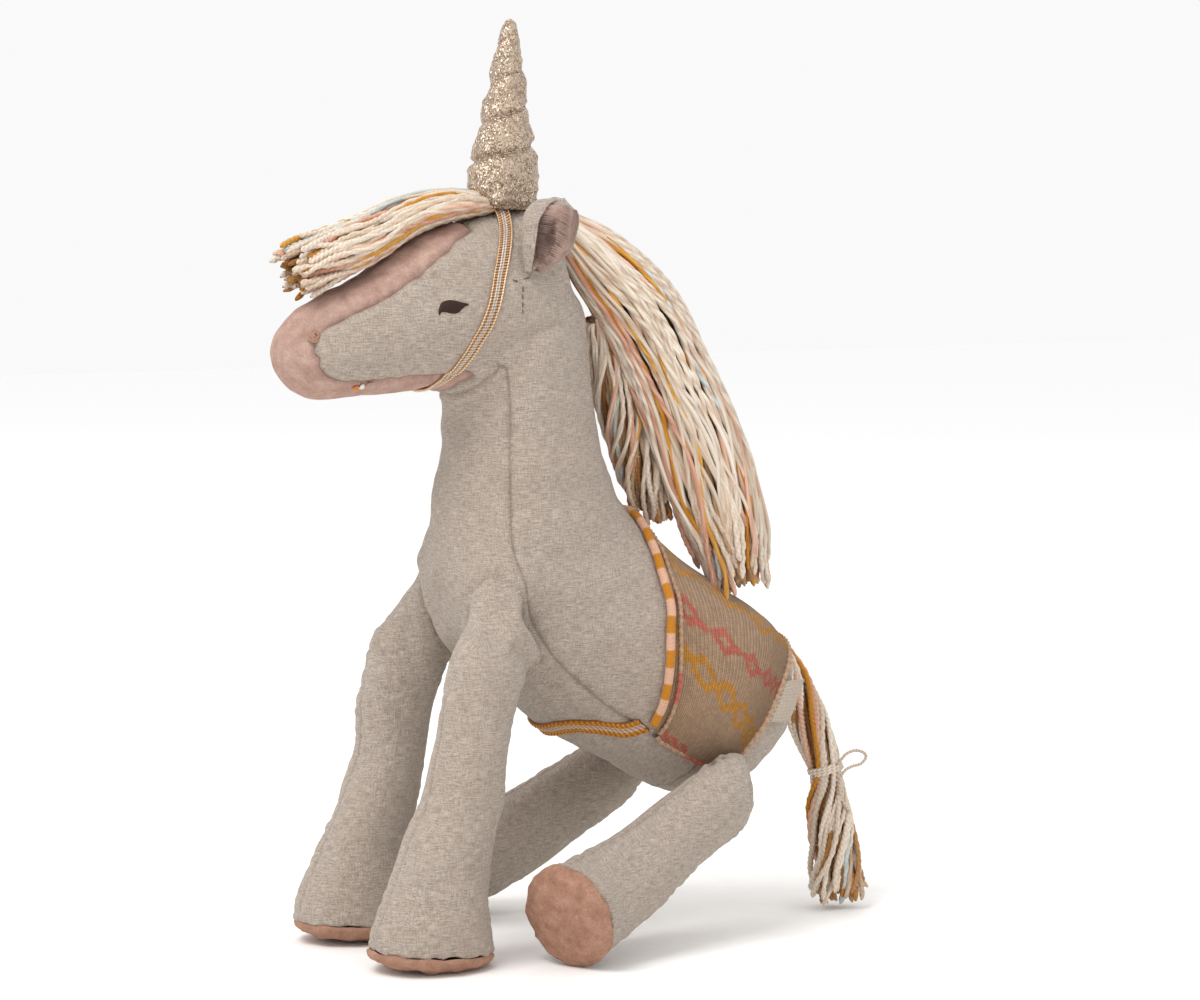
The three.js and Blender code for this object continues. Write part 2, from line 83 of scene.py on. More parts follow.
# ---------------------------------------------------------------- meshes
def mesh_object(name, points, faces, material, **attributes):
    """A mesh piece from points in mm and equal-sided faces. Attributes are per point."""
    mesh = bpy.data.meshes.new(name)
    faces = np.asarray(faces, np.int32)
    mesh.vertices.add(len(points))
    mesh.vertices.foreach_set("co", metres(points).astype(np.float32).ravel())
    mesh.loops.add(faces.size)
    mesh.loops.foreach_set("vertex_index", faces.ravel())
    mesh.polygons.add(len(faces))
    mesh.polygons.foreach_set("loop_start", np.arange(0, faces.size, faces.shape[1], dtype=np.int32))
    mesh.update(calc_edges=True)
    mesh.validate()
    mesh.polygons.foreach_set("use_smooth", np.full(len(mesh.polygons), True))
    for key, values in attributes.items():
        values = np.asarray(values, np.float32)
        kind = {1: "FLOAT", 3: "FLOAT_VECTOR", 4: "FLOAT_COLOR"}[1 if values.ndim == 1 else values.shape[1]]
        field = {"FLOAT": "value", "FLOAT_VECTOR": "vector", "FLOAT_COLOR": "color"}[kind]
        mesh.attributes.new(key, kind, "POINT").data.foreach_set(field, values.ravel())
    obj = bpy.data.objects.new(name, mesh)
    bpy.context.scene.collection.objects.link(obj)
    mesh.materials.append(material)
    return obj


def stored_points(mesh):
    points = np.empty(len(mesh.vertices) * 3)
    mesh.vertices.foreach_get("co", points)
    return points.reshape(-1, 3)


def arrays(obj):
    """An object's points in mm with its modifiers, and its faces as triangles."""
    evaluated = obj.evaluated_get(bpy.context.evaluated_depsgraph_get())
    mesh = evaluated.to_mesh()
    points = stored_points(mesh)
    mesh.calc_loop_triangles()
    triangles = np.empty(len(mesh.loop_triangles) * 3, np.int32)
    mesh.loop_triangles.foreach_get("vertices", triangles)
    evaluated.to_mesh_clear()
    return millimetres(points), triangles.reshape(-1, 3)


def point_normals(points, triangles):
    a, b, c = (points[triangles[:, i]] for i in range(3))
    face = np.cross(b - a, c - a)
    normals = np.zeros_like(points)
    for i in range(3):
        np.add.at(normals, triangles[:, i], face)
    return normals / np.maximum(np.linalg.norm(normals, axis=1), 1e-9)[:, None]


def waves(points, length, seed, stretch=(1, 1, 1), count=16):
    """A smooth random field of about unit size, with bumps of that length in mm."""
    rng = np.random.default_rng(seed)
    k = rng.normal(size=(count, 3))
    k /= np.linalg.norm(k, axis=1)[:, None]
    k *= 2 * math.pi / length * rng.uniform(0.7, 1.35, (count, 1)) / np.asarray(stretch, float)
    return np.cos(points @ k.T + rng.uniform(0, 2 * math.pi, count)).sum(1) * math.sqrt(2 / count)


def creases(points, length, seed, stretch=(1, 1, 1)):
    """Ridges with sharp valleys between them, from 0 to 1."""
    return 1 - np.abs(np.tanh(waves(points, length, seed, stretch)))


def ease(x):
    x = np.clip(x, 0, 1)
    return x * x * (3 - 2 * x)


def grid_faces(rows, columns, wrap=False):
    """Quads between rows of points; wrap joins each row's end to its start."""
    i, j = np.meshgrid(np.arange(rows - 1), np.arange(columns if wrap else columns - 1), indexing="ij")
    a, b = i * columns + j, i * columns + (j + 1) % columns
    return np.stack([a, b, b + columns, a + columns], -1).reshape(-1, 4)


def grid_of(first, second):
    """Every pair of two rows' values, as two flat arrays."""
    return [g.ravel() for g in np.meshgrid(first, second, indexing="ij")]


def split_quads(quads):
    return np.vstack([quads[:, [0, 1, 2]], quads[:, [0, 2, 3]]])


def edges_of(triangles):
    return np.concatenate([triangles[:, [0, 1]], triangles[:, [1, 2]], triangles[:, [2, 0]]])


def tree_of(points):
    tree = KDTree(len(points))
    for i, p in enumerate(points):
        tree.insert(p, i)
    tree.balance()
    return tree


def surface_tree(points, faces):
    return BVHTree.FromPolygons(points.tolist(), faces.tolist())


def curved(p0, p1, p2, p3, w):
    """A smooth curve's value between p1 and p2."""
    v0, v1 = (p2 - p0) / 2, (p3 - p1) / 2
    return ((2 * p1 - 2 * p2 + v0 + v1) * w + (3 * p2 - 3 * p1 - 2 * v0 - v1)) * w * w + v0 * w + p1


class Loft:
    """A smooth body through elliptical sections [x, y, z, half width, half depth], as in the CAD source."""

    def __init__(self, rows, start_cap=0.0, end_cap=0.0):
        rows = np.array(rows, float)
        self.rows = np.vstack([2 * rows[0] - rows[1], rows, 2 * rows[-1] - rows[-2]])
        self.start_cap, self.end_cap = start_cap, end_cap

    def sample(self, t):
        last = len(self.rows) - 3
        x = np.clip(t, 0, 1) * last
        i = np.minimum(x.astype(int), last - 1)
        return curved(*(self.rows[i + k] for k in range(4)), (x - i)[:, None])

    def frames(self, t):
        """centre, along, side, up, half width and half depth at each t; past 0 and 1 they go round the caps."""
        t = np.atleast_1d(np.asarray(t, float))
        inside = np.clip(t, 0, 1)
        row = self.sample(inside)
        ahead, behind = self.sample(np.minimum(inside + 1e-3, 1)), self.sample(np.maximum(inside - 1e-3, 0))
        along = (ahead - behind)[:, :3]
        along /= np.linalg.norm(along, axis=1)[:, None]
        side = np.array([1.0, 0, 0]) - along * along[:, :1]
        side /= np.linalg.norm(side, axis=1)[:, None]
        up = np.cross(along, side)
        beyond = np.clip(t - inside, -1, 1)
        cap = np.where(beyond < 0, self.start_cap, self.end_cap)
        shrink = np.sqrt(1 - beyond**2)
        return row[:, :3] + along * (cap * beyond)[:, None], along, side, up, row[:, 3] * shrink, row[:, 4] * shrink

    def place(self, t, degrees, lift=0.0):
        t, degrees = np.broadcast_arrays(np.atleast_1d(np.asarray(t, float)), np.asarray(degrees, float))
        centre, _, side, up, wide, deep = self.frames(t.ravel())
        a = np.radians(degrees.ravel())
        across = side * ((wide + lift) * np.cos(a))[:, None] + up * ((deep + lift) * np.sin(a))[:, None]
        return centre + across

    def out(self, t, degrees):
        """The direction out of the surface at each place."""
        t, degrees = np.broadcast_arrays(np.atleast_1d(np.asarray(t, float)), np.asarray(degrees, float))
        _, _, side, up, wide, deep = self.frames(t.ravel())
        a = np.radians(degrees.ravel())
        n = side * (np.cos(a) / np.maximum(wide, 1))[:, None] + up * (np.sin(a) / np.maximum(deep, 1))[:, None]
        return n / np.linalg.norm(n, axis=1)[:, None]

    def closed(self, inset, steps, sides):
        """Points and quads of the whole closed body."""
        ts = np.concatenate([-np.sin(np.linspace(1.45, 0.15, 7)), np.linspace(0, 1, steps),
                             1 + np.sin(np.linspace(0.15, 1.45, 7))])
        degrees = np.arange(sides) * 360 / sides
        points = self.place(*grid_of(ts, degrees), -inset)
        faces = grid_faces(len(ts), sides, True)
        return points, faces, len(ts)

    def locate(self, points):
        """For each point, its t past the caps too, and its place across the section: side, up, wide, deep."""
        ts = np.linspace(0, 1, 260)
        tree = tree_of(self.sample(ts)[:, :3])
        near = np.array([tree.find(p)[1] for p in points])
        centre, along, side, up, wide, deep = self.frames(ts[near])
        offset = points - centre
        ahead = (offset * along).sum(1)
        t = ts[near] + np.where((near == 0) & (ahead < 0), ahead / max(self.start_cap, 1e-6), 0)
        t = t + np.where((near == len(ts) - 1) & (ahead > 0), ahead / max(self.end_cap, 1e-6), 0)
        return t, (offset * side).sum(1), (offset * up).sum(1), wide, deep


def cut(points, triangles, field):
    """Splits the triangles that cross field 0, so that edges follow it. Returns points, triangles."""
    field = np.where(np.abs(field) < 0.06, 0.0, field)
    sign = np.sign(field).astype(int)
    crossing = (sign[triangles].min(1) < 0) & (sign[triangles].max(1) > 0)
    keep = [triangles[~crossing]]
    made, extra, new = {}, [], []

    def middle(a, b):
        key = (min(a, b), max(a, b))
        if key not in made:
            w = field[a] / (field[a] - field[b])
            made[key] = len(points) + len(extra)
            extra.append(points[a] + (points[b] - points[a]) * w)
        return made[key]

    for tri in triangles[crossing].tolist():
        s = [sign[v] for v in tri]
        if 0 in s:
            k = s.index(0)
            a, b, c = tri[k], tri[(k + 1) % 3], tri[(k + 2) % 3]
            m = middle(b, c)
            new += [[a, b, m], [a, m, c]]
        else:
            k = next(i for i in range(3) if s[i] != s[(i + 1) % 3] and s[i] != s[(i + 2) % 3])
            a, b, c = tri[k], tri[(k + 1) % 3], tri[(k + 2) % 3]
            ab, ac = middle(a, b), middle(a, c)
            new += [[a, ab, ac], [ab, b, c], [ab, c, ac]]
    if extra:
        points = np.vstack([points, extra])
    return points, np.vstack(keep + [np.array(new, np.int32).reshape(-1, 3)])


def part_of(points, triangles, wanted, *values):
    """The wanted triangles with only the points they use, and the values at those points."""
    chosen = triangles[wanted]
    used, index = np.unique(chosen, return_inverse=True)
    return (points[used], index.reshape(-1, 3), *(v[used] for v in values))


def nearest(points, targets):
    tree = tree_of(targets)
    found = [tree.find(p) for p in points]
    return np.array([f[2] for f in found]), np.array([f[1] for f in found])


# ---------------------------------------------------------------- cloth
CLOTH_FRAMES = 20


def swell(obj, pressure, cap, held):
    """Runs the cloth simulation of a stuffed skin and keeps its result, moved by at most cap mm."""
    rest = stored_points(obj.data)
    cloth = obj.modifiers.new("Cloth", "CLOTH")
    for key, value in {"quality": 5, "mass": 0.25, "tension_stiffness": 14.0, "compression_stiffness": 14.0,
                       "shear_stiffness": 7.0, "bending_stiffness": 0.4, "use_pressure": True,
                       "uniform_pressure_force": pressure}.items():
        setattr(cloth.settings, key, value)
    cloth.settings.effector_weights.gravity = 0
    cloth.collision_settings.use_collision = False
    cloth.point_cache.frame_end = CLOTH_FRAMES
    if held is not None:
        group = obj.vertex_groups.new(name="held")
        for i in np.nonzero(held > 0.01)[0].tolist():
            group.add([i], float(held[i]), "REPLACE")
        cloth.settings.vertex_group_mass = "held"
    for step in range(1, CLOTH_FRAMES + 1):
        bpy.context.scene.frame_set(step)
    evaluated = obj.evaluated_get(bpy.context.evaluated_depsgraph_get())
    moved = stored_points(evaluated.to_mesh())
    evaluated.to_mesh_clear()
    obj.modifiers.remove(cloth)
    bpy.context.scene.frame_set(1)
    shift = moved - rest
    size = np.linalg.norm(shift, axis=1)
    limit = cap / 1000
    shift *= (np.tanh(size / limit) * limit / np.maximum(size, 1e-9))[:, None]
    obj.data.vertices.foreach_set("co", (rest + shift).astype(np.float32).ravel())
    obj.data.update()


def modifier(obj, kind, **values):
    m = obj.modifiers.new(kind, kind)
    for key, value in values.items():
        setattr(m, key, value)
    return m


# ---------------------------------------------------------------- materials
def colour(code):
    """A linear colour from an sRGB code such as "b9ab9a"."""
    values = [int(code[i : i + 2], 16) / 255 for i in (0, 2, 4)]
    return [v / 12.92 if v <= 0.04045 else ((v + 0.055) / 1.055) ** 2.4 for v in values] + [1.0]


class Material:
    """A node material. Numbers and colours given to add() go straight on the sockets, and nodes are linked."""

    def __init__(self, name, rough=0.9, sheen=0.0, metallic=0.0, specular=0.3):
        self.data = bpy.data.materials.new(name)
        self.data.use_nodes = True
        self.tree = self.data.node_tree
        self.shader = self.tree.nodes["Principled BSDF"]
        self.shader.inputs["Roughness"].default_value = rough
        self.shader.inputs["Metallic"].default_value = metallic
        self.shader.inputs["Specular IOR Level"].default_value = specular
        self.shader.inputs["Sheen Weight"].default_value = sheen
        self.shader.inputs["Sheen Roughness"].default_value = 0.45

    def put(self, value, socket):
        if isinstance(value, bpy.types.NodeSocket):
            self.tree.links.new(value, socket)
        else:
            socket.default_value = value

    def add(self, kind, *values, out=0, **settings):
        node = self.tree.nodes.new(kind)
        for key, value in settings.items():
            setattr(node, key, value)
        sockets = [s for s in node.inputs if s.enabled]
        for value, socket in zip(values, sockets):
            if value is not None:
                self.put(value, socket)
        return [s for s in node.outputs if s.enabled][out]

    def math(self, operation, *values):
        return self.add("ShaderNodeMath", *values, operation=operation)

    def times(self, a, b):
        return self.math("MULTIPLY", a, b)

    def plus(self, a, b):
        return self.math("ADD", a, b)

    def attribute(self, name, out=1):
        return self.add("ShaderNodeAttribute", attribute_name=name, out=out)

    def noise(self, vector, scale, detail=2.0, rough=0.5, flat=False):
        node = self.tree.nodes.new("ShaderNodeTexNoise")
        node.noise_dimensions = "2D" if flat else "3D"
        self.put(vector, node.inputs["Vector"])
        node.inputs["Scale"].default_value = scale
        node.inputs["Detail"].default_value = detail
        node.inputs["Roughness"].default_value = rough
        return node.outputs[0]

    def scaled(self, vector, size):
        return self.add("ShaderNodeVectorMath", vector, size, operation="MULTIPLY")

    def mix(self, factor, a, b, blend="MIX"):
        node = self.tree.nodes.new("ShaderNodeMix")
        node.data_type = "RGBA"
        node.blend_type = blend
        for value, key in ((factor, 0), (a, 6), (b, 7)):
            self.put(value, node.inputs[key])
        return node.outputs[2]

    def tinted(self, tone, code, factor, share):
        """tone with a share of a colour over it, where factor is high."""
        return self.mix(self.times(factor, share), tone, colour(code))

    def shaded(self, tone, code, factor, share):
        """tone with a share of itself multiplied by a colour, where factor is high."""
        return self.mix(self.times(factor, share), tone, self.mix(1.0, tone, colour(code), "MULTIPLY"))

    def ramp(self, value, low, high):
        """value stretched so that low is 0 and high is 1."""
        return self.add("ShaderNodeMapRange", value, low, high, 0.0, 1.0)

    def bump(self, height, strength, distance):
        node = self.tree.nodes.new("ShaderNodeBump")
        node.inputs["Strength"].default_value = strength
        node.inputs["Distance"].default_value = distance
        self.put(height, node.inputs["Height"])
        return node.outputs[0]

    def finish(self, base, normal=None):
        self.put(base, self.shader.inputs["Base Color"])
        if normal is not None:
            self.put(normal, self.shader.inputs["Normal"])
        return self.data


THREAD_PITCH = 0.52                                       # from one linen thread to the next


def linen():
    """Plain-weave linen: threads run with the piece's own axes, and change side where it turns away from them."""
    m = Material("linen", rough=0.93, sheen=0.15)
    rest, grain = m.attribute("rest"), m.attribute("grain")
    xyz = m.tree.nodes.new("ShaderNodeSeparateXYZ")
    m.put(rest, xyz.inputs[0])
    x, y, z = xyz.outputs
    facing = m.tree.nodes.new("ShaderNodeSeparateXYZ")
    m.put(m.add("ShaderNodeVectorMath", grain, operation="ABSOLUTE"), facing.inputs[0])
    nx, ny, nz = facing.outputs
    is_x = m.math("GREATER_THAN", nx, m.math("MAXIMUM", ny, nz))
    is_z = m.math("GREATER_THAN", nz, m.math("MAXIMUM", nx, ny))
    a = m.plus(m.times(is_x, y), m.times(m.math("SUBTRACT", 1.0, is_x), x))
    b = m.plus(m.times(is_z, y), m.times(m.math("SUBTRACT", 1.0, is_z), z))
    wobble = m.noise(rest, 0.16, 2.0)
    a = m.plus(a, m.times(wobble, 2.0))
    b = m.plus(b, m.times(wobble, 2.4))
    cloth = m.add("ShaderNodeCombineXYZ", a, b)
    warp = m.noise(m.scaled(cloth, (2.9, 0.34, 0)), 1.0, 2.0, 0.6, flat=True)
    weft = m.noise(m.scaled(cloth, (0.28, 2.7, 0)), 1.0, 2.0, 0.6, flat=True)
    pitch = math.pi / THREAD_PITCH
    check = m.times(*(m.math("SINE", m.times(value, pitch)) for value in (a, b)))
    threads = m.plus(m.times(warp, 0.85), m.times(weft, 1.15))
    crinkle = m.noise(m.scaled(rest, (1, 1, 0.7)), 0.33, 3.0, 0.6)
    specks = m.noise(m.scaled(cloth, (1, 1, 0)), 1.3, 2.0, 0.7, flat=True)
    tone = m.mix(m.ramp(threads, 0.72, 1.28), colour("988a7e"), colour("c5b8ac"))
    # Painted shade where the threads dip under each other.
    tone = m.mix(m.ramp(check, -1.6, 1.0), m.mix(0.25, tone, colour("796857")), tone)
    tone = m.tinted(tone, "86705a", m.ramp(specks, 0.66, 0.8), 0.35)
    tone = m.tinted(tone, "a08b76", m.ramp(m.noise(rest, 0.035, 2.0), 0.35, 0.7), 0.12)
    # Painted shade: darker along the sunken seams, the ear folds, the hip pinches and the horn's groove.
    tone = m.tinted(tone, "655342", m.attribute("seam", 2), 0.5)
    height = m.plus(m.times(check, 0.22), threads)
    normal = m.bump(m.plus(height, m.times(crinkle, 1.6)), 0.7, 0.0006)
    return m.finish(tone, normal)


def velour(name, low, high):
    m = Material(name, rough=0.97, sheen=0.22, specular=0.12)
    m.shader.inputs["Sheen Tint"].default_value = colour(high)
    rest = m.attribute("rest")
    fine = m.noise(rest, 1.7, 4.0, 0.75)
    soft = m.noise(rest, 0.22, 3.0, 0.65)
    tone = m.mix(m.ramp(m.plus(fine, soft), 0.7, 1.3), colour(low), colour(high))
    # Painted shade: darker along the sunken seams and the ear lining's fold.
    tone = m.tinted(tone, "6d4a3c", m.attribute("seam", 2), 0.55)
    normal = m.bump(m.plus(fine, m.times(soft, 1.5)), 0.6, 0.0005)
    return m.finish(tone, normal)


def thread(name, code, rough=0.7):
    m = Material(name, rough=rough, sheen=0.05)
    fine = m.noise(m.attribute("rest"), 3.1, 3.0, 0.6)
    tone = m.mix(m.ramp(fine, 0.3, 0.7), m.mix(0.45, colour(code), colour("2a1a12")), colour(code))
    return m.finish(tone, m.bump(fine, 0.5, 0.0002))


def yarn():
    """Cotton yarn in the colours the strands carry, with loose fibres along it."""
    m = Material("yarn", rough=0.9, sheen=0.12)
    rest, tone = m.attribute("rest"), m.attribute("tone", 0)
    ply = m.attribute("ply", 2)
    fine = m.noise(rest, 4.2, 3.0, 0.7)
    # Painted shade: warm brown in the valleys between the plies.
    shade = m.shaded(tone, "b28a63", m.ramp(m.plus(ply, m.times(fine, 0.6)), 1.25, 0.25), 0.62)
    return m.finish(shade, m.bump(m.plus(fine, ply), 0.45, 0.0003))


def glitter():
    """Pale gold foil cloth: small flakes, each turned its own way."""
    m = Material("glitter", rough=0.36, metallic=0.7, specular=0.5)
    rest = m.attribute("rest")
    flakes = m.tree.nodes.new("ShaderNodeTexVoronoi")
    flakes.inputs["Scale"].default_value = 2.7
    m.put(m.scaled(rest, (1, 1, 0.8)), flakes.inputs["Vector"])
    tilt = m.add("ShaderNodeVectorMath", flakes.outputs["Color"], (0.5, 0.5, 0.5), operation="SUBTRACT")
    ground = m.tree.nodes.new("ShaderNodeNewGeometry").outputs["Normal"]
    bent = m.add("ShaderNodeVectorMath", ground, m.scaled(tilt, (1.1, 1.1, 1.1)), operation="ADD")
    normal = m.add("ShaderNodeVectorMath", bent, operation="NORMALIZE")
    split = m.tree.nodes.new("ShaderNodeSeparateXYZ")
    m.put(flakes.outputs["Color"], split.inputs[0])
    soft = m.noise(rest, 0.25, 3.0, 0.6)
    # Painted glints: each flake lighter or darker by the same random value that tilts it.
    tone = m.mix(m.ramp(split.outputs[1], 0.1, 0.95), colour("7e6857"), colour("e2cfb9"))
    tone = m.tinted(tone, "a28a76", m.ramp(soft, 0.4, 0.7), 0.4)
    # Painted shade: darker in the horn's spiral groove and at the foot of its roll.
    tone = m.tinted(tone, "6a4a34", m.attribute("seam", 2), 0.6)
    return m.finish(tone, normal)


def toned(name, rough, metallic=0.0, sheen=0.2, specular=0.3):
    """A material whose colours the piece carries, with a fine fibre over them."""
    m = Material(name, rough=rough, metallic=metallic, sheen=sheen, specular=specular)
    fine = m.noise(m.attribute("rest"), 2.6, 3.0, 0.7)
    shade = m.shaded(m.attribute("tone", 0), "9a8270", m.ramp(fine, 0.62, 0.3), 0.55)
    return m.finish(shade, m.bump(fine, 0.5, 0.0003))


def knitted():
    """Stocking stitch in the colours the piece carries; loop counts the stitches across and along."""
    m = Material("cotton_knit", rough=0.93, sheen=0.1)
    xyz = m.tree.nodes.new("ShaderNodeSeparateXYZ")
    m.put(m.attribute("loop"), xyz.inputs[0])
    off = m.math("ABSOLUTE", m.math("SUBTRACT", m.math("FRACT", xyz.outputs[0]), 0.5))
    along = m.math("FRACT", m.math("SUBTRACT", xyz.outputs[1], m.times(off, 1.5)))
    leg = m.math("SINE", m.times(off, 2 * math.pi))
    hump = m.plus(m.times(m.math("SINE", m.times(along, math.pi)), 0.55), 0.45)
    height = m.times(leg, hump)
    fine = m.noise(m.attribute("rest"), 1.6, 3.0, 0.7)
    # Painted shade in the gaps between the loops.
    shade = m.shaded(m.attribute("tone", 0), "8d6d52", m.ramp(m.plus(height, m.times(fine, 0.5)), 0.75, 0.2), 0.8)
    return m.finish(shade, m.bump(height, 0.7, 0.0005))


def floor_material():
    m = Material("floor", rough=0.85)
    place = m.add("ShaderNodeTexCoord", out=3)
    near = m.mix(m.ramp(m.noise(place, 60.0, 3.0), 0.3, 0.7), colour("f6f5f3"), colour("fbfaf8"))
    away = m.add("ShaderNodeVectorMath", place, operation="LENGTH")
    return m.finish(m.mix(m.ramp(away, 0.5, 1.6), near, (1.0, 1.0, 1.0, 1.0)))


LINEN = linen()
VELOUR = velour("velour", "96766a", "bfa194")
SOLE = velour("sole_velour", "8c6754", "b88f7a")
LINING = velour("ear_velour", "a2857a", "c6a99e")
THREAD = thread("seam_thread", "7a6450")
EYE = thread("eye_thread", "2c140b", 0.65)
KNOT = thread("knot_thread", "b08874", 0.7)
YARN = yarn()
GLITTER = glitter()
LUREX = toned("lurex", 0.42, metallic=0.55, specular=0.5)
GIRTH_CLOTH = toned("girth_elastic", 0.8)
PIPING_CLOTH = toned("piping_cotton", 0.85)
KNIT = knitted()
HEM_CLOTH = toned("knit_hem", 0.9, sheen=0.1)
LABEL_CLOTH = toned("label_tape", 0.85)

# ---------------------------------------------------------------- floor and light
stage = bpy.data.objects.new("floor", bpy.data.meshes.new("floor"))
edge = 3.0
stage.data.from_pydata([(-edge, -edge, 0), (edge, -edge, 0), (edge, edge, 0), (-edge, edge, 0)], [], [(0, 1, 2, 3)])
stage.data.materials.append(floor_material())
stage.location.z = -0.0002
bpy.context.scene.collection.objects.link(stage)

world = bpy.data.worlds.new("studio")
world.use_nodes = True
world.node_tree.nodes["Background"].inputs[0].default_value = (1, 1, 1, 1)
world.node_tree.nodes["Background"].inputs[1].default_value = 0.95
bpy.context.scene.world = world
for name, side, height, away, size, power in (
    ("key", -42, 55, 1.5, 0.7, 13.0),
    ("fill", 50, 15, 1.7, 1.4, 1.5),
    ("rim", 165, 45, 1.5, 1.0, 3.0),
):
    lamp = bpy.data.objects.new(name, bpy.data.lights.new(name, "AREA"))
    lamp.data.size = size
    lamp.data.energy = power
    a, e = AZIMUTH + math.radians(side), math.radians(height)
    place = Vector((math.sin(a) * math.cos(e), -math.cos(a) * math.cos(e), math.sin(e))) * away + TARGET
    lamp.matrix_world = Matrix.Translation(place) @ (place - TARGET).to_track_quat("Z", "Y").to_matrix().to_4x4()
    bpy.context.scene.collection.objects.link(lamp)
bpy.context.scene.view_settings.view_transform = "Standard"

# ---------------------------------------------------------------- body
TORSO = Loft([
    [0, 65, 76, 34, 36], [0, 48, 86.5, 36, 37.5], [0, 22.5, 102, 36, 38.5], [0, 0, 125, 32, 40],
    [0, -7, 150, 28.5, 35], [0, -8.5, 172, 26, 30], [0, -9, 195, 25, 27.5], [0, -8, 212, 23.5, 25],
], 30, 14)
HEAD = Loft([
    [0, -8, 224, 22, 24], [0, -30, 216, 25, 29], [0, -50, 211, 24, 25.5], [0, -68, 206, 21.5, 21],
    [0, -83, 202, 19, 18.5],
], 17, 17)
TORSO_LENGTH, HEAD_LENGTH = 232, 79
GUSSET_WIDTHS = [24, 26, 26, 25, 23.5, 21, 20, 15]
BLAZE_WIDTHS = [7, 8, 13.5, 15.5, 15.5, 14, 13]
CHIN_WIDTHS = [14, 15.5, 15, 14, 14, 14, 14]


def width_at(widths, t):
    return np.interp(np.clip(t, 0, 1), np.linspace(0, 1, len(widths)), widths)


def soft_max(a, b, size):
    h = np.clip(0.5 + (a - b) / (2 * size), 0, 1)
    return b + (a - b) * h + size * h * (1 - h)


def depth_outside(loft, points):
    """About how far each point is outside a loft, in mm, and its t, side and up."""
    t, x, up, wide, deep = loft.locate(points)
    beyond = np.clip(np.abs(t - np.clip(t, 0, 1)), 0, 1)
    around = np.sqrt((x / wide) ** 2 + (up / deep) ** 2 + beyond**2)
    return (around - 1) * np.minimum(wide, deep), t, x, up


def blaze_field(points):
    """Above 0 on the velour: the blaze, the muzzle and the chin."""
    _, t, x, up = depth_outside(HEAD, points)
    past_neck = depth_outside(TORSO, points)[0] - 1.2
    top = np.minimum(width_at(BLAZE_WIDTHS, t) - np.abs(x), (t - 0.16) * HEAD_LENGTH)
    top = np.minimum(top, up)
    chin = np.minimum(width_at(CHIN_WIDTHS, t) - np.abs(x), (t - 0.1) * HEAD_LENGTH)
    chin = np.minimum(np.minimum(chin, -up), past_neck)
    nose = (t - 1.6) * 17
    return np.minimum(soft_max(soft_max(top, nose, 4), chin, 2.5), 3.0)


def gusset_field(points):
    """Above 0 on the panel under the body, from between the hind legs to the throat."""
    _, t, x, up = depth_outside(TORSO, points)
    past_head = depth_outside(HEAD, points)[0] - 1.2
    field = np.minimum(width_at(GUSSET_WIDTHS, t) - np.abs(x), (t - 0.03) * TORSO_LENGTH)
    return np.minimum(np.minimum(field, -up), past_head)


def spline(points, count):
    """A smooth row of count points through the given ones."""
    points = np.array(points, float)
    rows = np.concatenate([[2 * points[0] - points[1]], points, [2 * points[-1] - points[-2]]])
    x = np.linspace(0, len(points) - 1, count)
    i = np.minimum(x.astype(int), len(points) - 2)
    return curved(*(rows[i + k] for k in range(4)), (x - i).reshape((-1,) + (1,) * (points.ndim - 1)))


def closed_object(name, shapes):
    """One object of several closed bodies, each given as points, quads and the number of rows."""
    points, faces = [], []
    for own, quads, rows in shapes:
        base, sides = len(points), len(own) // rows
        points += metres(own).tolist()
        faces += (quads + base).tolist()
        faces.append([base + i for i in reversed(range(sides))])
        faces.append([base + (rows - 1) * sides + i for i in range(sides)])
    mesh = bpy.data.meshes.new(name)
    mesh.from_pydata(points, [], faces)
    mesh.update()
    obj = bpy.data.objects.new(name, mesh)
    bpy.context.scene.collection.objects.link(obj)
    return obj


def applied(obj):
    """The object with its modifiers made part of its mesh."""
    mesh = bpy.data.meshes.new_from_object(obj.evaluated_get(bpy.context.evaluated_depsgraph_get()))
    obj.modifiers.clear()
    obj.data = mesh
    return obj


def stuffed(obj, pressure, cap, held=None, voxel=None):
    """A stuffed skin: remeshed, swollen by its stuffing and smoothed. Returns its points and triangles."""
    if voxel:
        modifier(obj, "REMESH", mode="VOXEL", voxel_size=voxel / 1000)
        modifier(obj, "SMOOTH", factor=0.6, iterations=6)
        applied(obj)
    swell(obj, pressure, cap, held)
    modifier(obj, "SUBSURF", levels=2, render_levels=2)
    points, triangles = arrays(obj)
    bpy.data.objects.remove(obj, do_unlink=True)
    return points, triangles


def groove(points, normals, line, depth, width, ends=8.0):
    """Sinks the surface along a line of points, less at the line's ends."""
    away, which = nearest(points, line)
    share = which / max(len(line) - 1, 1) * np.linalg.norm(np.diff(line, axis=0), axis=1).sum()
    fade = ease(share / ends) * ease((share.max() - share) / ends) if ends else 1.0
    return points - normals * (depth * fade * np.exp(-((away / width) ** 2)))[:, None]


def path_on(loft, places, count=120):
    """Points on a loft along places given as [t, degrees]."""
    places = np.array(places, float)
    s = np.linspace(0, len(places) - 1, count)
    both = [np.interp(s, np.arange(len(places)), places[:, k]) for k in (0, 1)]
    return loft.place(both[0], both[1])


ELASTIC_PLACE = [[0.26 - 0.25 * math.sin(math.radians(a)), a] for a in range(70, -256, -5)]

FRONT_LEG = Loft([
    [30.5, -30, 109, 3.5, 8], [30.3, -31.8, 100, 6.5, 11], [29, -37, 84, 11, 12.5], [28.3, -44.5, 58, 12.5, 13.3],
    [28, -52, 34, 14.5, 15.7], [27.8, -56, 16, 17, 20], [27.6, -56.8, 5, 17.6, 22],
], 4, 6)
HIND_LEG = Loft([
    [36, 60, 52, 3.5, 8], [36.5, 52, 49, 7, 11.5], [38, 38, 41.5, 11.5, 13.2], [40.5, 18.5, 30.5, 13, 14],
    [44.3, -1.5, 21.2, 15.4, 16.2], [50.5, -17.5, 17.1, 17.8, 17.8],
], 5, 6)
